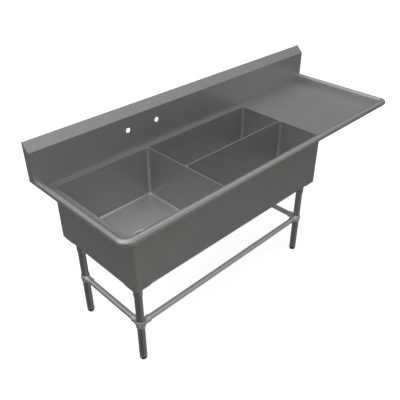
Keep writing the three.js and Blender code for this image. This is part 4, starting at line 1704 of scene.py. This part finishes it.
class SINK_OT_stage(bpy.types.Operator):
    """Sets the pale floor, the soft light of the room and the camera"""

    bl_idname = "sink.stage"
    bl_label = "Stage"

    def execute(self, context):
        scene = context.scene
        stage = scene.sink_stage
        world = bpy.data.worlds.new("studio")
        scene.world = world
        studio_sky(world)
        scene.view_settings.view_transform = "Standard"

        material, tree, shader = shader_of("seamless_paper")
        place = node(tree, "ShaderNodeTexCoord").outputs["Object"]
        tooth = node(tree, "ShaderNodeTexNoise", {"Scale": 3.0, "Detail": 3.0}, {"Vector": place})
        colour = tuple(stage.floor)
        tone = node(
            tree, "ShaderNodeMix",
            {"A": (*brighter(colour, 0.985), 1), "B": (*colour, 1)},
            {"Factor": tooth.outputs["Fac"]},
            data_type="RGBA",
        )
        tree.links.new(tone.outputs["Result"], shader.inputs["Base Color"])
        tree.links.new(tone.outputs["Result"], shader.inputs["Emission Color"])
        shader.inputs["Emission Strength"].default_value = stage.floor_glow
        shader.inputs["Roughness"].default_value = 0.9
        reach = FLOOR_REACH
        mesh = bpy.data.meshes.new("floor")
        mesh.from_pydata(
            [(-reach, -reach, 0), (reach, -reach, 0), (reach, reach, 0), (-reach, reach, 0)],
            [], [(0, 1, 2, 3)],
        )
        mesh.materials.append(material)
        floor = bpy.data.objects.new("floor", mesh)
        scene.collection.objects.link(floor)
        floor.visible_glossy = False
        floor.visible_shadow = False

        target = Vector(CAMERA_TARGET)
        level = math.cos(stage.elevation)
        back = Vector((
            math.sin(stage.azimuth) * level, -math.cos(stage.azimuth) * level, math.sin(stage.elevation)
        ))
        camera = bpy.data.cameras.new("camera")
        camera.lens = stage.lens
        camera.sensor_width = 36.0
        camera.clip_end = 100.0
        eye = bpy.data.objects.new("camera", camera)
        eye.location = target + back * stage.distance
        eye.rotation_mode = "QUATERNION"
        eye.rotation_quaternion = (-back).to_track_quat("-Z", "Y")
        scene.collection.objects.link(eye)
        scene.camera = eye
        return {"FINISHED"}


# ---------------------------------------------------------------- add-on

GROUPS = (
    ("sink_sheet", SheetSettings), ("sink_rim", RimSettings), ("sink_drain", DrainSettings),
    ("sink_leg", LegSettings), ("sink_finish", FinishSettings), ("sink_stage", StageSettings),
)
OPERATORS = (
    SINK_OT_basins, SINK_OT_deck, SINK_OT_rim, SINK_OT_backsplash, SINK_OT_skirt, SINK_OT_drains,
    SINK_OT_strainers, SINK_OT_legs, SINK_OT_welds, SINK_OT_feet, SINK_OT_rails, SINK_OT_screws,
    SINK_OT_stage,
)


class SINK_PT_panel(bpy.types.Panel):
    """Lists the sink's settings and the steps that make it"""

    bl_idname = "SINK_PT_panel"
    bl_label = "Three Compartment Sink"
    bl_space_type = "VIEW_3D"
    bl_region_type = "UI"
    bl_category = "Sink"

    def draw(self, context):
        for operator in OPERATORS:
            self.layout.operator(operator.bl_idname)
        for key, group in GROUPS:
            box = self.layout.box()
            box.label(text=group.__doc__)
            for name in group.__annotations__:
                box.prop(getattr(context.scene, key), name)


def register():
    """Adds the settings, the operators and the panel."""
    for key, group in GROUPS:
        bpy.utils.register_class(group)
        setattr(bpy.types.Scene, key, PointerProperty(type=group))
    for cls in (*OPERATORS, SINK_PT_panel):
        bpy.utils.register_class(cls)


def unregister():
    """Takes the settings, the operators and the panel away."""
    for cls in (SINK_PT_panel, *reversed(OPERATORS)):
        bpy.utils.unregister_class(cls)
    for key, group in reversed(GROUPS):
        delattr(bpy.types.Scene, key)
        bpy.utils.unregister_class(group)


def main():
    """Makes the whole sink and its stage."""
    register()
    for operator in OPERATORS:
        family, step = operator.bl_idname.split(".")
        getattr(getattr(bpy.ops, family), step)()


if __name__ == "__main__":
    main()
